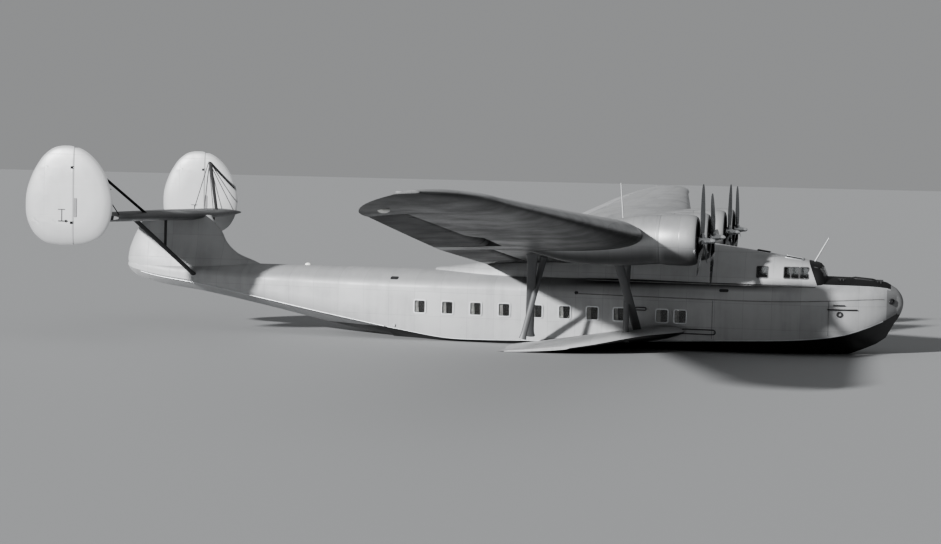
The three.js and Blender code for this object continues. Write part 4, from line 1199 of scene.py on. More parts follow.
# %% Hinged surfaces
RIB_PITCH, RIB_HEIGHT, RIB_CLEAR = 0.36, 0.003, .01
RIB_SHAPE = ((-.03, 0), (-.012, RIB_HEIGHT), (.012, RIB_HEIGHT), (.03, 0))
SURFACE_SMOOTH = 40


def clear_of(rows, notches, margin):
    return [row for row in rows if all(abs(row[0] - notch) > NOTCH_HALF + margin for notch in notches)]


def hung_skin(name, surface, hinge, notches, rows, body, material):
    """Lofts the moving rings, and hangs the piece on a bracket and a pin in each notch."""
    for notch in notches:
        rows += [(notch - NOTCH_HALF - NOTCH_LIP, False, 0), (notch - NOTCH_HALF, True, 0),
                 (notch + NOTCH_HALF, True, 0), (notch + NOTCH_HALF + NOTCH_LIP, False, 0)]
    rings = [moving_ring(surface, span, hinge, notched, height) for span, notched, height in sorted(rows)]
    piece = fit(loft(name, rings, SURFACE_SMOOTH), body, material, body)
    arms, pins = [], []
    for notch in notches:
        centre, half, fore, rise = hinge_frame(surface, notch, hinge)
        turn = Matrix((fore, fore.cross(rise), rise)).transposed().to_4x4()
        for group, make in ((arms, bracket_arm), (pins, bracket_pin)):
            part = make(half + NOSE_PROUD + RUNNING_GAP + ARM_ROOT)
            part.data.transform(Matrix.Translation(to_model(centre)) @ turn)
            group.append(part)
    fit(joined(arms, name.replace("skin", "brackets")), "airframe", frame_metal)
    fit(joined(pins, name.replace("skin", "pins")), body, frame_metal)
    return piece


def hinged_skin(name, surface, hinge, brackets, body, material):
    """A fabric-covered surface: ribs stand a little proud, and a notch in the nose clears each bracket."""
    (span_a, _), (span_b, _) = hinge
    sign = 1 if span_b > span_a else -1
    first, last = span_a + sign * END_INSET, span_b - sign * END_INSET
    notches = [mix(span_a, span_b, share) for share in brackets]
    rows = []
    count = round(abs(last - first) / RIB_PITCH)
    for i in range(count + 1):
        rib = mix(first, last, i / count)
        rows += [(rib + offset, False, height) for offset, height in RIB_SHAPE]
    rows = [row for row in clear_of(rows, notches, RIB_CLEAR) if min(first, last) < row[0] < max(first, last)]
    rows += [(first, False, 0), (last, False, 0)]
    return hung_skin(name, surface, hinge, notches, rows, body, material)


def cut_spans(start, end, step, cut_from, cut_to):
    """Stations with pairs at each end of a cut-out, so that its end walls stand square."""
    spans = [(span, False) for span in spaced(start, cut_from, step)]
    spans += [(span, True) for span in spaced(cut_from, cut_to, step)]
    return spans + [(span, False) for span in spaced(cut_to, end, step)]


print("ribs stand", RIB_HEIGHT, "proud")

# %% [markdown]
# The undersides of the boat's upper parts are given painted shade, darker than their top, with no line between.
# Each point gets a share that says how far it faces down, and the finish darkens by it. The hollow ahead of a
# hinged surface has an edge, so there the faces are painted near black, as painted shade.

# %% Painted shade on undersides
TIP_TURN, TIP_SHADE_FROM, TIP_SHADE_TO = 1.3, TIP_START_Y + 0.5, TIP_Y - 0.8
WALL_TURN, ROOF_TURN = -0.20, 0.70


def painted_shade_under(piece, top_turn=0.50, under_turn=-0.25):
    """Writes how far each point faces down, 0 on top to 1 below, as a share of painted shade for the finish to read.
    A wing tip's whole edge counts as below, so it is shaded too."""
    mask = piece.data.attributes.new(PAINTED_SHADE, "FLOAT", "POINT")
    shares = []
    for vertex in piece.data.vertices:
        outward = np.interp(abs(vertex.co.y) / MODEL_SCALE, (TIP_SHADE_FROM, TIP_SHADE_TO), (0, 1))
        turn = mix(top_turn, TIP_TURN, outward)
        share = min(1.0, max(0.0, (turn - vertex.normal.z) / (turn - mix(under_turn, top_turn, outward))))
        shares.append(share * share * (3 - 2 * share))
    mask.data.foreach_set("value", shares)
    return piece


def slot_shaded(piece, slot_from, slot_to):
    """Paints the hollow ahead of a hinged surface near black as painted shade, and gives the piece painted shade
    below.
    """
    return painted(painted_shade_under(piece), slot_painted_shade,
                   lambda x, y, z, normal: normal.x < WALL_TURN and normal.z < ROOF_TURN
                   and slot_from < abs(y) < slot_to)


print("shade rounds the tip from", TIP_SHADE_FROM)

# %% [markdown]
# Metal sheet covers the wing in three pieces, as on the real one: a centre section and two outer panels that end
# in round tips. Stations stand in pairs at the ends of each opening, so that its end walls are square.

# %% Wing skins
FLAP_SLOT = 0.30
AILERON_SLOT = ((9.0, 0.50), (12.4, 0.50), (13.0, 0.14), (20.4, 0.03))
FLAP_FROM, FLAP_TO, FLAP_X = 1.9, 7.35, -1.15
AILERON_FROM, AILERON_TO, AILERON_X = 9.0, 20.4, (-0.75, -0.25)
WING_STEP = 0.55
FLAP_BRACKETS, AILERON_BRACKETS = (.04, .5, .96), (.08, .5, .92)
TIP_STEPS, PANEL_GAP = 14, 0.001

centre_rings = []
for sign in (-1, 1):
    hinge = ((sign * FLAP_FROM, FLAP_X), (sign * FLAP_TO, FLAP_X))
    spans = cut_spans(0, BREAK_Y, WING_STEP, FLAP_FROM, FLAP_TO)
    rings = [fixed_ring(wing_point, sign * y, hinge if cut else None, FLAP_SLOT) for y, cut in spans]
    centre_rings += rings[::-1] if sign < 0 else rings[1:]
wing_centre = fit(loft("wing_centre_skin", centre_rings, SURFACE_SMOOTH), "airframe", wing_metal, "wing_centre")
slot_shaded(wing_centre, FLAP_FROM, FLAP_TO)

for side, sign in SIDES:
    hinge = ((sign * FLAP_FROM, FLAP_X), (sign * FLAP_TO, FLAP_X))
    flap = hinged_skin("flap_skin_" + side, wing_point, hinge, FLAP_BRACKETS, "flap_" + side, doped_fabric)
    painted_shade_under(flap)
    hinge = ((sign * AILERON_FROM, AILERON_X[0]), (sign * AILERON_TO, AILERON_X[1]))
    spans = cut_spans(BREAK_Y + PANEL_GAP, TIP_START_Y, WING_STEP, AILERON_FROM, AILERON_TO)
    rings = [fixed_ring(wing_point, sign * y, hinge if cut else None,
                        float(np.interp(y, *zip(*AILERON_SLOT)))) for y, cut in spans]
    tip = [TIP_START_Y + (TIP_Y - TIP_START_Y) * sin(pi / 2 * i / TIP_STEPS)
           for i in range(1, TIP_STEPS + 1)]
    rings += [fixed_ring(wing_point, sign * y) for y in tip]
    outer = fit(loft("wing_outer_skin_" + side, rings, SURFACE_SMOOTH), "airframe", wing_metal, "wing_outer_" + side)
    slot_shaded(outer, AILERON_FROM, AILERON_TO)
    aileron = hinged_skin("aileron_skin_" + side, wing_point, hinge, AILERON_BRACKETS, "aileron_" + side,
                          doped_fabric)
    painted_shade_under(aileron)
print("wing pieces", sum("wing" in name for name in pieces))

# %% [markdown]
# Each engine hangs in front of the wing in a round cowl; its nacelle narrows back into the wing's underside.
# A cylinder could be bevelled into a cowl, but the real lip rolls inwards. One profile turned about the engine's
# axis draws the outside, the lip and the inner wall in one piece.

# %% Nacelles and cowls
ENGINES = (("port_outer", 6.81, 20), ("port_inner", 3.02, -10), ("starboard_inner", -3.02, 35),
           ("starboard_outer", -6.81, 5))
ENGINE_Z = 4.70
NACELLE_LINES = [(4.32, 4.70, .58, .60), (4.29, 4.70, .71, .735), (3.80, 4.67, .71, .75), (3.00, 4.58, .69, .71),
                 (2.30, 4.50, .61, .63), (1.20, 4.40, .44, .42), (.50, 4.42, .30, .26), (0, 4.42, .12, .12)]
NACELLE_ROUND = 40
COWL_TURN, LIP_TURN = (0.05, -0.75), 0.62
COWL_PROFILE = [(4.30, .69), (4.30, .738), (4.50, .762), (4.69, .77), (5.10, .77), (5.24, .758), (5.33, .735),
                (5.39, .70), (5.42, .64), (5.41, .59), (5.38, .57), (5.30, .585), (5.11, .69), (4.80, .70)]


def nacelle_ring(x, middle, half_width, half_height, y):
    return [place(x, y + half_width * c, middle + half_height * s) for c, s in round_points(NACELLE_ROUND)]


for name, y, _ in ENGINES:
    stations = [4.32] + spaced(4.29, 0, 0.2)
    rings = [nacelle_ring(x, *values, y) for x, values in zip(stations, faired(NACELLE_LINES, stations))]
    nacelle = fit(loft("nacelle_skin_" + name, rings), "airframe", nacelle_metal, "nacelle_" + name)
    # The nacelle's and the cowl's undersides get painted shade.
    painted_shade_under(nacelle, *COWL_TURN)
    cowl = turned("cowl_skin_" + name, COWL_PROFILE + COWL_PROFILE[:1], (y, ENGINE_Z), 56)
    painted_shade_under(fit(cowl, "airframe", nacelle_metal, "cowling_" + name), *COWL_TURN)
    # The cowl's lip front and inner wall are painted near black, as painted shade, where they face away from the
    # light.
    painted(cowl, engine_dark, lambda x, py, z, normal: normal.x > LIP_TURN
            or normal.y * (py - y) + normal.z * (z - ENGINE_Z) < 0)
print("cowls", len(ENGINES))

# %% [markdown]
# The propellers have three blades in a round hub with a domed pitch gear in front.
# A flat blade could be twisted with a modifier; rings turned to their own pitch give twist and taper at once.

# %% Propellers
BLADE_ROWS = [(.06, .11, 62, .7), (.2, .15, 50, .3), (.45, .22, 36, .14), (.75, .21, 27, .10), (.93, .16, 22, .09),
              (.99, .09, 20, .09), (1.0, .03, 20, .09)]
PROPELLER_X, PROPELLER_RADIUS = 5.54, 1.70
BLADE_ROUND = 16


def blade(name, turn, y):
    rings = []
    shares = spaced(.06, .93, .06) + [.96, .98, .99, .996, 1.0]
    for share, (chord, pitch, thick) in zip(shares, faired(BLADE_ROWS, shares)):
        ring = []
        for i in range(BLADE_ROUND):
            t = 2 * pi * i / BLADE_ROUND
            across, through = cos(t) * chord / 2, sin(t) * chord * thick / 2
            local = Vector((across * sin(radians(pitch)) + through * cos(radians(pitch)),
                            across * cos(radians(pitch)) - through * sin(radians(pitch)), PROPELLER_RADIUS * share))
            turned_point = Matrix.Rotation(turn, 3, "X") @ local
            ring.append(place(PROPELLER_X + turned_point.x, y + turned_point.y, ENGINE_Z + turned_point.z))
        rings.append(ring)
    return loft(name, rings, 50)


print("propeller", 2 * PROPELLER_RADIUS, "across")


# %% [markdown]
# Inside each cowl sits a two-row radial engine: a round crankcase with seven finned cylinders in each row.
# One cylinder is turned with its fins, given its rocker boxes and push rods, then copied around the crankcase.

# %% Engines
CYLINDERS, CYLINDER_ROWS = 7, ((4.70, 0.5), (4.98, 0.0))
CYLINDER_FOOT, CYLINDER_TOP = 0.30, 0.60
FINS, CYLINDER_ROUND, BARREL_SMOOTH = 9, 14, 30
CORE_PROFILE = [(4.335, 0), (4.335, .685), (4.40, .685), (4.43, .42), (4.56, .36), (4.90, .35), (5.05, .33),
                (5.12, .26), (5.22, .22), (5.30, .20), (5.36, .14), (5.40, .062), (5.60, .06), (5.60, 0)]


def upright_rings(profile, steps):
    """Rings about an upright axis through the origin: the profile's rows are height and radius."""
    return [[Vector((r * c, r * s, z)) * MODEL_SCALE for c, s in round_points(steps)] for z, r in profile]


def one_cylinder():
    profile = [(CYLINDER_FOOT - .04, .075)]
    for i in range(FINS):
        z = mix(CYLINDER_FOOT, CYLINDER_TOP - .06, i / (FINS - 1))
        profile += [(z - .008, .075), (z - .006, .112), (z + .006, .112), (z + .008, .075)]
    profile += [(CYLINDER_TOP - .04, .10), (CYLINDER_TOP, .085), (CYLINDER_TOP + .01, .03)]
    extras = [loft("barrel", upright_rings(profile, CYLINDER_ROUND), BARREL_SMOOTH)]
    for across in (-.055, .055):
        deselect_all()
        bpy.ops.mesh.primitive_cube_add(size=1, location=Vector((0, across, CYLINDER_TOP)) * MODEL_SCALE)
        box = bpy.context.object
        box.scale = Vector((.15, .05, .06)) * MODEL_SCALE
        bpy.ops.object.transform_apply(location=True, rotation=True, scale=True)
        bpy.ops.object.mode_set(mode="EDIT")
        bpy.ops.mesh.bevel(offset=.012 * MODEL_SCALE, segments=2, affect="EDGES")
        bpy.ops.object.mode_set(mode="OBJECT")
        extras.append(box)
        low, high = Vector((.17, across * .6, CYLINDER_FOOT - .03)), Vector((.085, across, CYLINDER_TOP - .01))
        deselect_all()
        bpy.ops.mesh.primitive_cylinder_add(vertices=8, radius=.009 * MODEL_SCALE,
                                            depth=(high - low).length * MODEL_SCALE)
        push_rod = bpy.context.object
        push_rod.data.transform((high - low).to_track_quat("Z", "X").to_matrix().to_4x4())
        push_rod.data.transform(Matrix.Translation((low + high) / 2 * MODEL_SCALE))
        extras.append(push_rod)
    return joined(extras, "one_cylinder")


master = one_cylinder()
for name, y, _ in ENGINES:
    core = turned("engine_core_" + name, CORE_PROFILE, (y, ENGINE_Z), 40)
    fit(core, "airframe", engine_dark, "engine_" + name)
    ring = []
    for x, offset in CYLINDER_ROWS:
        for i in range(CYLINDERS):
            one = copied(master, "cylinder")
            one.data.transform(Matrix.Rotation(2 * pi * (i + offset) / CYLINDERS, 4, "X"))
            one.data.transform(Matrix.Translation(place(x, y, ENGINE_Z)))
            ring.append(one)
    fit(joined(ring, "engine_cylinders_" + name), "airframe", cylinder_metal)
bpy.data.objects.remove(master)
print("cylinders", len(ENGINES) * CYLINDERS * len(CYLINDER_ROWS))

# %% [markdown]
# A blade's root sits in a barrel on the hub, and the hub is a turned piece with a domed front.
# Barrel and hub could be one mesh; made apart, each keeps its own metal and a sharp line where they meet.

# %% Hubs
HUB_PROFILE = [(5.43, .0), (5.43, .11), (5.64, .11), (5.70, .088), (5.74, .08), (5.84, .07), (5.89, .05),
               (5.915, .02), (5.92, .0)]
BARREL_PROFILE = ((.03, .075), (.09, .075), (.13, .07), (.135, .082), (.165, .082), (.17, .06), (.24, .045))
BLADES, BARREL_ROUND = 3, 16
for name, y, lead in ENGINES:
    for i in range(BLADES):
        piece = blade("blade_%d_%s" % (i + 1, name), radians(lead + 120 * i), y)
        fit(piece, "propeller_" + name, blade_metal)
    hub = turned("hub_" + name, HUB_PROFILE, (y, ENGINE_Z), 24)
    fit(hub, "propeller_" + name, bright_fitting, "propeller_" + name)
    barrels = []
    for i in range(BLADES):
        barrel = loft("barrel", upright_rings(BARREL_PROFILE, BARREL_ROUND), BARREL_SMOOTH)
        barrel.data.transform(Matrix.Rotation(radians(lead + 120 * i), 4, "X"))
        barrel.data.transform(Matrix.Translation(place(PROPELLER_X, y, ENGINE_Z)))
        barrels.append(barrel)
    fit(joined(barrels, "hub_barrels_" + name), "propeller_" + name, frame_metal)
print("blades", BLADES * len(ENGINES))

# %% [markdown]
# The sponsons are short thick stub wings at the waterline that steady the boat, black below and bare on top.
# Their section is blunter than a wing's, so it is drawn point by point and faired, where the wing has a formula.

# %% Sponsons
SPONSON_LINES = [(1.0, 4.55, -1.60, 1.53, .79, .54), (1.76, 4.55, -1.60, 1.53, .79, .54),
                 (2.60, 4.25, -1.60, 1.53, .79, .47), (3.40, 3.60, -1.55, 1.50, .78, .37),
                 (4.00, 2.80, -1.40, 1.38, .82, .29), (4.35, 2.00, -1.20, 1.22, .86, .20),
                 (4.50, 1.20, -.90, 1.08, .90, .12)]
SPONSON_TOP = [(1, .06), (.8, .15), (.5, .31), (.29, .42), (.156, .5), (.07, .42), (.02, .22), (0, 0)]
SPONSON_UNDER = [(0, 0), (.03, -.2), (.12, -.34), (.35, -.42), (.7, -.34), (1, -.1)]


def sponson_ring(y, nose_x, tail_x, nose_z, tail_z, thickness, sign):
    outline = [(t * t, float(faired_profile(SPONSON_TOP, t * t))) for t in spaced(1, 0, 0.06)]
    outline += [(t * t, float(faired_profile(SPONSON_UNDER, t * t))) for t in spaced(0, 1, 0.06)[1:]]
    return [place(mix(nose_x, tail_x, aft), sign * y, mix(nose_z, tail_z, aft) + rise * thickness)
            for aft, rise in outline]


def faired_profile(table, wanted):
    return faired([(sqrt(a), b) for a, b in table], [sqrt(wanted)])[0][0]


for side, sign in SIDES:
    stations = [1.6, 1.76] + spaced(1.9, 4.35, 0.15) + [4.41, 4.46, 4.485, 4.50]
    rings = [sponson_ring(y, *values, sign) for y, values in zip(stations, faired(SPONSON_LINES, stations))]
    skin = fit(loft("sponson_skin_" + side, rings), "airframe", hull_metal, "sponson_" + side)
    skin.data.materials.append(bottom_black)
    for face in skin.data.polygons:
        x, y, z = on_drawing(face.center)
        nose_x, tail_x, nose_z, tail_z, _ = faired(SPONSON_LINES, [abs(y)])[0]
        face.material_index = int(z < mix(nose_z, tail_z, (nose_x - x) / (nose_x - tail_x)))
print("sponson reaches", SPONSON_LINES[-1][0])

# %% [markdown]
# Each sponson is held to the wing by a front and a rear pair of streamlined struts that cross.
# A strut is a loft of flat ovals from foot to head. It widens into a fairing at both ends, by one table of shares.

# %% Struts
STRUT_PAIRS = (("front", ((3.19, 2.3, 2.64, 5.6), (2.84, 3.4, 2.94, 4.0))),
               ("rear", ((-.50, 2.3, .15, 5.6), (-.44, 3.9, .40, 4.0))))
STRUT_FOOT_Z, STRUT_HEAD_Z, STRUT_ENDS = 1.2, 4.6, (0.02, 0.93)
STRUT_SIZES = {"out": (.29, .12), "in": (.19, .09)}
STRUT_SPREAD = [(0, 1.5), (.06, 1.05), (.12, 1), (.6, 1), (.68, 1.02), (.78, 1.15), (.86, 1.5), (1, 1.8)]


def strut_rings(foot, head, chord, thickness, low, high, spread=((0, 1), (1, 1)), count=24):
    axis = (head - foot).normalized()
    across = axis.cross(Vector((1, 0, 0))).normalized()
    fore = across.cross(axis).normalized()
    rings = []
    for share in spaced(low, high, 0.04):
        wide = faired(spread, [share])[0][0]
        centre = foot.lerp(head, share)
        rings.append([to_model(centre + fore * c * chord / 2 * wide + across * s * thickness / 2 * wide)
                      for c, s in round_points(count)])
    return rings


for side, sign in SIDES:
    for name, members in STRUT_PAIRS:
        for label, (foot_x, foot_y, head_x, head_y) in zip(("out", "in"), members):
            foot, head = Vector((foot_x, sign * foot_y, STRUT_FOOT_Z)), Vector((head_x, sign * head_y, STRUT_HEAD_Z))
            rings = strut_rings(foot, head, *STRUT_SIZES[label], *STRUT_ENDS, STRUT_SPREAD)
            piece = loft("strut_%s_%s_%s" % (name, label, side), rings)
            node = "strut_%s_%s" % (name, side) if label == "out" else None
            fit(piece, "airframe", strut_painted_shade, node)
print("struts", len(SIDES) * sum(len(members) for _, members in STRUT_PAIRS))

# %% [markdown]
# The tail stands on a swept pylon that grows out of the hull's end and closes under the tailplane.
# It is a loft of upright ovals: a box pulled up from the deck would need each of its edges swept by hand.

# %% Tail
PYLON_LINES = [(2.95, -10.1, -15.55, .55), (3.25, -10.75, -15.60, .50), (3.55, -11.48, -15.56, .42),
               (3.95, -11.90, -15.42, .34), (4.30, -12.08, -15.25, .30), (4.60, -12.33, -15.08, .28),
               (4.86, -12.48, -14.93, .25)]
PYLON_ROUND = 40
heights = spaced(2.95, 4.86, 0.06)
rings = [[place(mix(rear_x, front_x, .5 + .5 * c), wide * s, z) for c, s in round_points(PYLON_ROUND)]
         for z, (front_x, rear_x, wide) in zip(heights, faired(PYLON_LINES, heights))]
fit(loft("tail_pylon_skin", rings), "airframe", hull_metal, "tail_pylon")
print("pylon rings", len(rings))

# %% [markdown]
# The tailplane is one wing with a fin at each end and two elevators at its back.
# The same rings that made the wing make it, with the tail's own section, so the helpers are used again.

# %% Tailplane and elevators
def faired_once(table, wanted):
    return [np.interp(wanted, [row[0] for row in table], [row[i] for row in table]) for i in (1, 2)]


TAIL_LINES = [(0, -12.65, -16.10), (5.3, -13.37, -16.02), (6.0, -13.47, -14.76)]
TAIL_Z, TAIL_THICKNESS = 4.84, 0.11


def tail_point(y, share, side):
    nose_x, tail_x = faired_once(TAIL_LINES, abs(y))
    chord = nose_x - tail_x
    return Vector((nose_x - chord * share, y, TAIL_Z + side * chord * half_thickness(TAIL_THICKNESS, share)))


ELEVATOR_FROM, ELEVATOR_TO, ELEVATOR_X, ELEVATOR_BRACKETS = .35, 5.2, -14.95, (.1, .9)
rings = []
for sign in (-1, 1):
    hinge = ((sign * ELEVATOR_FROM, ELEVATOR_X), (sign * ELEVATOR_TO, ELEVATOR_X))
    spans = cut_spans(0, 5.3, 0.4, ELEVATOR_FROM, ELEVATOR_TO) + [(5.5, False), (5.75, False), (6.0, False)]
    half = [fixed_ring(tail_point, sign * y, hinge if cut else None) for y, cut in spans]
    rings += half[::-1] if sign < 0 else half[1:]
fit(loft("tailplane_skin", rings, SURFACE_SMOOTH), "airframe", tailplane_painted_shade, "tailplane")
for side, sign in SIDES:
    hinge = ((sign * ELEVATOR_FROM, ELEVATOR_X), (sign * ELEVATOR_TO, ELEVATOR_X))
    hinged_skin("elevator_skin_" + side, tail_point, hinge, ELEVATOR_BRACKETS, "elevator_" + side,
                tailplane_painted_shade)
print("tailplane rings", len(rings))

# %% [markdown]
# Each fin is egg-shaped, and its after part is the rudder. The outline is drawn as distances from its middle,
# which fair into one smooth closed curve; with a table of heights, its round top and foot would turn to corners.

# %% Fins and rudders
FIN_TOP_X = -15.3
FIN_OUTLINE = [(FIN_TOP_X, 7.16), (-14.75, 7.06), (-14.3, 6.75), (-13.95, 6.3), (-13.73, 5.75), (-13.66, 5.2),
               (-13.75, 4.7), (-14.0, 4.28), (-14.45, 4.02), (-15.0, 3.93), (-15.5, 3.92), (-16.05, 4.02),
               (-16.45, 4.35), (-16.66, 4.8), (-16.70, 5.3), (-16.6, 5.9), (-16.35, 6.45), (-16.0, 6.9),
               (-15.65, 7.11)]
FIN_CENTRE, FIN_Y, FIN_HALF, RUDDER_X = (-15.1, 5.3), 6.08, .13, -15.02
FIN_SWELL = [(0, 1.0), (.5, 1.0), (.8, .8), (.96, .35), (1.0, 0)]


def about_fin(x, z):
    """A point's angle and distance from the fin's middle."""
    along, rise = x - FIN_CENTRE[0], z - FIN_CENTRE[1]
    return atan2(rise, along), sqrt(along ** 2 + rise ** 2)


polar = sorted(about_fin(x, z) for x, z in FIN_OUTLINE)
polar = [(a - 2 * pi, r) for a, r in polar[-3:]] + polar + [(a + 2 * pi, r) for a, r in polar[:3]]
FIN_ANGLES = spaced(-pi, pi, 0.02)
FIN_RADII = [values[0] for values in faired(polar, FIN_ANGLES)]
FIN_EDGE = [(FIN_CENTRE[0] + r * cos(a), FIN_CENTRE[1] + r * sin(a)) for a, r in zip(FIN_ANGLES, FIN_RADII)]
FIN_LOW, FIN_HIGH = min(z for _, z in FIN_EDGE), max(z for _, z in FIN_EDGE)
fore_edge = sorted((z, x) for x, z in FIN_EDGE if x > FIN_TOP_X)
aft_edge = sorted((z, x) for x, z in FIN_EDGE if x <= FIN_TOP_X)


def fin_half(x, z):
    angle, distance = about_fin(x, z)
    share = min(1.0, distance / np.interp(angle, FIN_ANGLES, FIN_RADII))
    return FIN_HALF * faired(FIN_SWELL, [share])[0][0]


def fin_surface(sign):
    def surface(z, share, side):
        nose = np.interp(z, *zip(*fore_edge))
        tail = np.interp(z, *zip(*aft_edge))
        x = mix(nose, tail, share)
        return Vector((x, sign * FIN_Y + side * fin_half(x, z), z))
    return surface


RUDDER_ENDS, RUDDER_BRACKETS, FIN_CLEAR = (3.75, 7.35), (.25, .75), .02
FIN_STEPS, FIN_TRIM, FIN_AHEAD = 34, .003, .12
FIN_ROWS = [mix(FIN_LOW + FIN_TRIM, FIN_HIGH - FIN_TRIM, .5 - .5 * cos(pi * i / FIN_STEPS))
            for i in range(FIN_STEPS + 1)]
for side, sign in SIDES:
    surface = fin_surface(sign)
    hinge = ((4.2, RUDDER_X), (7.0, RUDDER_X))
    rows = [z for z in FIN_ROWS if surface(z, 0, 0).x > RUDDER_X + FIN_AHEAD]
    rings = [fixed_ring(surface, z, hinge) for z in rows]
    fit(loft("fin_skin_" + side, rings, SURFACE_SMOOTH), "airframe", tail_metal, "fin_" + side)
    notches = [mix(*RUDDER_ENDS, share) for share in RUDDER_BRACKETS]
    rows = clear_of([(z, False, 0) for z in FIN_ROWS], notches, FIN_CLEAR)
    hung_skin("rudder_skin_" + side, surface, hinge, notches, rows, "rudder_" + side, tail_metal)
print("fin height", round(FIN_HIGH - FIN_LOW, 2))

# %% [markdown]
# Two struts brace the tail on each side: a lower one from the hull to the tailplane, and an upper one to the fin.
# They are drawn with the same rings as the sponsons' struts, and end inside what they join.

# %% Tail struts
TAIL_STRUTS = (("lower", (-12.79, .50, 2.65), (-13.94, 4.10, 4.96), .20, .09, 0.04, 0.93),
               ("upper", (-13.51, 3.35, 4.87), (-14.79, 6.06, 6.78), .12, .06, 0.04, 0.98))
for side, sign in SIDES:
    for name, foot, head, chord, thickness, low, high in TAIL_STRUTS:
        ends = [Vector((x, sign * y, z)) for x, y, z in (foot, head)]
        piece = loft("tail_strut_%s_skin_%s" % (name, side), strut_rings(*ends, chord, thickness, low, high))
        fit(piece, "airframe", strut_dark_painted_shade, "tail_strut_%s_%s" % (name, side))
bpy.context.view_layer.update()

# %% [markdown]
# The small fittings are what gives the boat its scale: rubbing strakes, rails, wires, vents and cleats.
# Rails, wires and strakes are all rods: rings are set square to a run of points, and a loft covers them.
# A curve with a bevel would do too; rings keep the rod in the same mesh workflow as the skins.

# %% Rods
# Dark grey for seams, which are dark joints, and as painted shade for the strakes' shadow lines.
seam_and_shadow_grey = plain_finish("seam_and_shadow_grey", (0.22, 0.22, 0.22), 0.6, grain=0.4)
ROD_SIDES = 8


def rod(name, points, radius, looped=False, guide=(0, 1, 0), flatten=1.0):
    """A rod along drawing points; guide is a direction that the run never takes."""
    places = [Vector(point) for point in points]
    count = len(places)
    rings = []
    for i, middle in enumerate(places):
        after = places[(i + 1) % count] if looped else places[min(i + 1, count - 1)]
        before = places[i - 1] if looped else places[max(i - 1, 0)]
        across = (after - before).cross(Vector(guide)).normalized()
        lift = across.cross((after - before).normalized())
        rings.append([to_model(middle + radius * (across * cos(a) + lift * sin(a) * flatten))
                      for a in (2 * pi * k / ROD_SIDES for k in range(ROD_SIDES))])
    return loft(name, rings + rings[:1] if looped else rings, 50)


def side_run(x_from, x_to, height, sign, step=0.4, out=0.0):
    """Points along the hull's side: height is a number, or a function that gives the height at x."""
    level = height if callable(height) else lambda x: height
    return [(x, sign * (hull_side(x, level(x)) + out), level(x)) for x in spaced(x_from, x_to, step)]


def oval(x, z, length, height, sign, out, count=20):
    """A closed loop of points that stands off the hull's side."""
    straight = max(length - height, 0) / 2
    loop = []
    for k in range(count):
        angle = 2 * pi * (k + 0.5) / count
        px = x + (straight if cos(angle) > 0 else -straight) + height / 2 * cos(angle)
        pz = z + height / 2 * sin(angle)
        loop.append((px, sign * (hull_side(px, pz) + out), pz))
    return loop


print("points along ten metres of side", len(side_run(5, -5, 2, 1)))

# %% [markdown]
# A strake runs along the knuckle, a bright strip along the chine, and a moulding below the deckhouse.
# Each follows the hull's own lines, so its rod asks the hull for every point and can't drift off the sheet.

# %% Strakes and seams
def line_of(column):
    return lambda x: hull_values(x)[column]


# The knuckle strake and the deckhouse moulding are dark grey as painted shade, for the thin shadow line below each.
STRAKES = (("knuckle_strake", 10.9, 0.95, line_of(KNUCKLE), 0.015, seam_and_shadow_grey),
           ("deckhouse_moulding", 8.72, 1.2, 3.10, 0.026, seam_and_shadow_grey),
           ("chine_strip_fore", 10.9, 0.0, line_of(CHINE), 0.020, frame_metal),
           ("chine_strip_middle", -0.08, -5.56, line_of(CHINE), 0.020, frame_metal),
           ("chine_strip_aft", -5.68, -15.0, line_of(CHINE), 0.020, frame_metal))
UPRIGHT_SEAMS = ((9.17, 1.55, 2.68), (5.45, 1.32, 2.58))
for side, sign in SIDES:
    for name, start, end, height, radius, material in STRAKES:
        strip = rod(name + "_" + side, side_run(start, end, height, sign), radius)
        fit(strip, "airframe", material)
    seams = [rod("seam", [(x, sign * hull_side(x, z), z) for z in spaced(low, high, 0.15)], 0.009)
             for x, low, high in UPRIGHT_SEAMS]
    fit(joined(seams, "upright_seams_" + side), "airframe", seam_and_shadow_grey)
print("strips", len(SIDES) * len(STRAKES))

# %% [markdown]
# Small fittings break up the side: vents, grab rails on short feet, bars and rings for mooring lines.
# Boxes are pressed on and rods stand off the sheet, so that each throws its own small shadow.

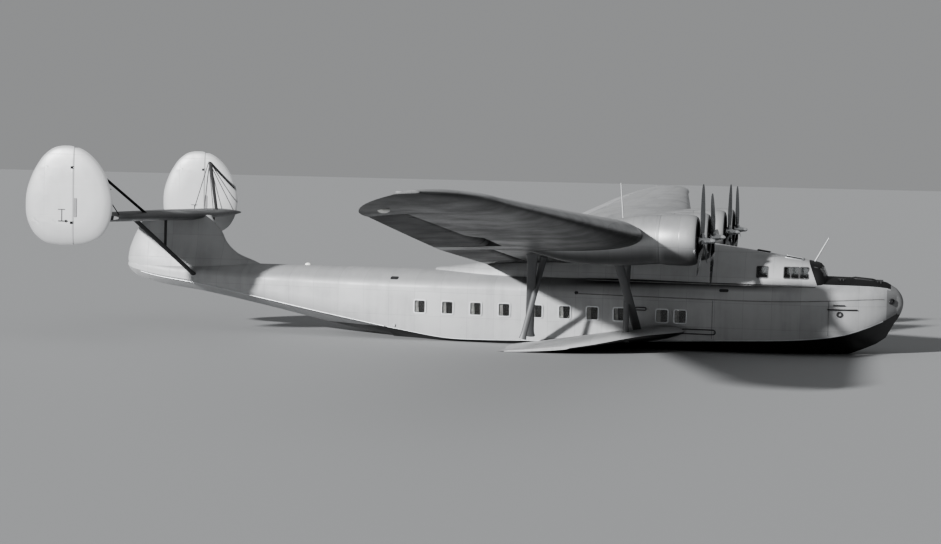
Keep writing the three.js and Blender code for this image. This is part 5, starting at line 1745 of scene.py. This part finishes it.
# %% Vents, rails and handles
VENTS = ((5.80, 2.92, 0.30, 0.09), (-5.39, 2.94, 0.28, 0.09))
SIDE_LIGHT = (0.95, 2.68, 0.12, 0.10)
BOW_BARS = ((9.32, 9.68, 2.55), (9.14, 10.08, 2.41))
RAIL_OUT, FOOT_SUNK = 0.045, 0.01
RAIL_LOOPS = ((5.01, 1.545, 1.12, 0.15), (3.10, 2.23, 0.37, 0.09))
for side, sign in SIDES:
    vents = [pressed_on(rounded_box("vent", x, z, width, height, 0.03, height * 0.45), sign)
             for x, z, width, height in VENTS + (SIDE_LIGHT,)]
    fit(joined(vents, "side_vents_" + side), "airframe", dark_fitting)
    rails = [rod("rail", oval(*loop, sign, RAIL_OUT), 0.014, looped=True) for loop in RAIL_LOOPS]
    for x, z, length, height in RAIL_LOOPS:
        for end in (-0.4, 0.4):
            foot = x + end * length
            top = z + height * 0.5
            y = hull_side(foot, top)
            ends = [(foot, sign * (y - FOOT_SUNK), top), (foot, sign * (y + RAIL_OUT), top)]
            rails.append(rod("foot", ends, 0.012, guide=(0, 0, 1)))
    rails += [rod("bar", side_run(start, end, z, sign, 0.1, 0.03), 0.02) for start, end, z in BOW_BARS]
    rails.append(rod("ring", oval(9.52, 2.26, 0.15, 0.15, sign, 0.03), 0.022, looped=True))
    rails.append(rod("nose_ring", oval(11.17, 2.68, 0.15, 0.15, sign, 0.03), 0.024, looped=True))
    fit(joined(rails, "side_rails_" + side), "airframe", dark_fitting)
    step_cleat = pressed_on(rounded_box("step_cleat_" + side, -5.32, 1.34, 0.10, 0.10, 0.08, 0.03), sign)
    fit(step_cleat, "airframe", bright_fitting)
print("rails", len(SIDES) * len(RAIL_LOOPS))

# %% [markdown]
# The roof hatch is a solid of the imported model, because it turns. Here it gets a coaming to close on,
# a flange where the coaming meets the roof, and two small skylights ahead of it.

# %% Roof
def roof_height(x, y):
    half_width, roof = faired(HOUSE_LINES, [x])[0]
    rise = sqrt(max(0.0, 1 - (min(abs(y) / half_width, 1.0)) ** (2 / SIDE_POWER))) ** ROOF_POWER
    return mix(HOUSE_FLOOR, roof, rise)


def deck_height(x, y):
    crown = hull_half(*hull_values(x))[:-CROWN_STEPS - 2:-1]
    return float(np.interp(abs(y), [point[0] for point in crown], [point[1] for point in crown]))


def laid_on_roof(piece, height=roof_height):
    """Turns a piece drawn flat on y = 0 face up, and lays it on the roof: its own y becomes its height there."""
    for vertex in piece.data.vertices:
        x, out, across = on_drawing(vertex.co)
        vertex.co = place(x, across - LAY_Z, height(x, across - LAY_Z) + out)
    return face_outward(piece, SMOOTH_ANGLE)


LAY_Z = 3.0
HATCH_X, HATCH_LENGTH, HATCH_WIDTH, HATCH_SLOPE = 7.16, 0.42, 0.50, radians(8.5)
HATCH_FRONT_Z, HATCH_GAP = 4.13, 0.014

middle_x = HATCH_X - HATCH_LENGTH / 2
coaming = rounded_box("hatch_coaming", middle_x, HATCH_FRONT_Z, HATCH_LENGTH - 0.03, 0.26, HATCH_WIDTH - 0.03, 0.03)
top_z = place(0, 0, HATCH_FRONT_Z - HATCH_GAP).z
for vertex in coaming.data.vertices:
    slope_rise = (HATCH_X * MODEL_SCALE - vertex.co.x) * tan(HATCH_SLOPE)
    vertex.co.z += top_z + slope_rise - place(0, 0, HATCH_FRONT_Z + 0.13).z
fit(coaming, "airframe", dark_fitting)
flange = rounded_box("hatch_flange", middle_x, LAY_Z, HATCH_LENGTH + 0.10, HATCH_WIDTH + 0.10, 0.03, 0.04)
flange = opened(flange, 0.075)
fit(laid_on_roof(flange), "airframe", bright_fitting)
skylights, skylight_rims = [], []
for _, sign in SIDES:
    size = (7.98, LAY_Z + sign * 0.36, 0.56, 0.42)
    skylights.append(laid_on_roof(rounded_box("skylight", *size, 0.03, 0.05)))
    rim = rounded_box("rim", size[0], size[1], size[2] + 0.07, size[3] + 0.07, 0.045, 0.07)
    skylight_rims.append(laid_on_roof(opened(rim, 0.05)))
fit(joined(skylights, "skylights"), "airframe", dark_fitting)
fit(joined(skylight_rims, "skylight_rims"), "airframe", frame_metal)
print("coaming", round(HATCH_LENGTH - 0.03, 2), "by", round(HATCH_WIDTH - 0.03, 2))

# %% [markdown]
# A hatch and four cleats stand on the bow deck, where lines are handled when the boat is moored.
# They are made with the roof's helpers; only the height they are laid on is the deck's.

# %% Bow deck
BOW_HATCH = (10.25, 0.62, 0.56)
CLEATS = ((9.55, 0.62), (10.75, 0.30))
x, length, width = BOW_HATCH
lid = laid_on_roof(rounded_box("bow_hatch", x, LAY_Z, length, width, 0.06, 0.10), deck_height)
fit(lid, "airframe", deck_black)
rim = opened(rounded_box("bow_hatch_rim", x, LAY_Z, length + 0.12, width + 0.12, 0.04, 0.14), 0.05)
fit(laid_on_roof(rim, deck_height), "airframe", dark_fitting)
cleats = []
for x, y in CLEATS:
    for _, sign in SIDES:
        top = deck_height(x, y) + 0.05
        cleats.append(rod("horns", [(x + run, sign * y, top) for run in (-.12, -.06, .06, .12)], 0.016))
        for run in (-.05, .05):
            cleats.append(rod("foot", [(x + run, sign * y, top - 0.09), (x + run, sign * y, top)], 0.02))
fit(joined(cleats, "bow_cleats"), "airframe", dark_fitting)
print("cleats", len(SIDES) * len(CLEATS))

# %% [markdown]
# Wires brace each fin from high on its inner face down to the tailplane, and a post steadies each tail strut.
# A post and the wires end inside what they join, as the real ones do in their fittings.

# %% Tail wires and posts
WIRE_TOP = (-14.80, 5.93, 6.77)
WIRE_FEET = ((-15.25, 5.55, 4.86), (-14.45, 5.55, 4.90), (-13.60, 5.55, 4.86), (-13.76, 5.98, 5.75))
POST = ((-13.35, 2.2, 3.74), (-13.34, 2.2, 4.72))
for side, sign in SIDES:
    top = (WIRE_TOP[0], sign * WIRE_TOP[1], WIRE_TOP[2])
    wires = [rod("wire", [top, (x, sign * y, z)], 0.016) for x, y, z in WIRE_FEET]
    fit(joined(wires, "fin_wires_" + side), "airframe", dark_fitting)
    post = [Vector((x, sign * y, z)) for x, y, z in POST]
    fit(loft("tail_post_" + side, strut_rings(*post, .10, .06, 0, 1)), "airframe", strut_dark_painted_shade)
print("wires", len(SIDES) * len(WIRE_FEET))

# %% [markdown]
# The fin carries a sealed slot ahead of the rudder's hinge on both faces, and the rudder a horn and a tab's hinge.
# All are shallow boxes pressed onto the faces: cut in, they would be lost at this size.

# %% Fin and rudder fittings
TAB_MARKS = (((-15.32, 4.70), (.34, .035)), ((-15.22, 4.70), (.06, .08)), ((-15.38, 5.08), (.24, .022)),
             ((-15.37, 4.89), (.02, .36)))


def fin_out(x, z):
    return FIN_Y + fin_half(x, z)


def fin_in(x, z):
    return fin_half(x, z) - FIN_Y


for side, sign in SIDES:
    bars = [pressed_on(rounded_box("bar", -14.905, 5.15, 0.11, 0.62, 0.03, 0.03), turn * sign, face)
            for turn, face in ((1, fin_out), (-1, fin_in))]
    fit(joined(bars, "fin_slots_" + side), "airframe", grey_fitting)
    horns = [pressed_on(rounded_box("horn", x, z, width, height, 0.03, 0.008), turn * sign, face)
             for (x, z), (width, height) in TAB_MARKS for turn, face in ((1, fin_out), (-1, fin_in))]
    fit(joined(horns, "rudder_tab_fittings_" + side), "rudder_" + side, dark_fitting)
print("tab fittings on each face", len(TAB_MARKS))

# %% [markdown]
# Under each wing tip is a glazed light, and a small lamp sits on the tip itself and on the after deck.
# Each is a sphere pressed flat and laid on the skin, so that its edge blends into the sheet.

# %% Lights
def lens(name, centre, size, material):
    deselect_all()
    bpy.ops.mesh.primitive_uv_sphere_add(segments=28, ring_count=14, radius=1)
    piece = bpy.context.object
    piece.name = piece.data.name = name
    piece.data.transform(Matrix.Diagonal((*[half * MODEL_SCALE for half in size], 1)))
    piece.data.transform(Matrix.Translation(place(*centre)))
    bpy.ops.object.shade_smooth_by_angle(angle=radians(SMOOTH_ANGLE))
    return fit(piece, "airframe", material)


TIP_LIGHT = (-0.35, 21.82)
for side, sign in SIDES:
    share = share_at(wing_point, TIP_LIGHT[1], TIP_LIGHT[0])
    under = wing_point(TIP_LIGHT[1], share, -1)
    lens("landing_light_" + side, (TIP_LIGHT[0], sign * TIP_LIGHT[1], under.z), (.15, .15, .075), lamp_lens)
    lens("tip_lamp_" + side, (.55, sign * 23.86, wing_point(23.85, .5, 0).z), (.10, .05, .04), grey_fitting)
lens("deck_lamp", (-8.88, 0, 3.22), (.11, .07, .07), lamp_lens)
print("lamps", sum("light" in name or "lamp" in name for name in pieces))

# %% [markdown]
# The four engines are alike: each blows its exhaust from a short open pipe low on its port side.
# The profile goes forward inside and comes back outside, so the pipe has a wall and an open end.

# %% Exhausts
PIPE = [(3.70, .036), (3.20, .048), (3.20, .060), (3.70, .050), (3.70, .036)]
PIPE_OUT, PIPE_Z = 0.655, 4.36
for name, y, _ in ENGINES:
    fit(turned("exhaust_" + name, PIPE, (y + PIPE_OUT, PIPE_Z), 20), "airframe", dark_fitting)
print("pieces", len(pieces))

# %% [markdown]
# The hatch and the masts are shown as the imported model's own solids: they are plain enough to need no skin.
# They still need a finish, so every solid gets one.

# %% Materials for the solids that stay
for name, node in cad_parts.items():
    node.data.materials.clear()
    node.data.materials.append(deck_black if "hatch" in name else mast_metal)
print("solids dressed", len(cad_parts))

# %% [markdown]
# The number of dressed pieces is printed.

# %% Count of pieces
print("sizes of", len(pieces), "pieces")
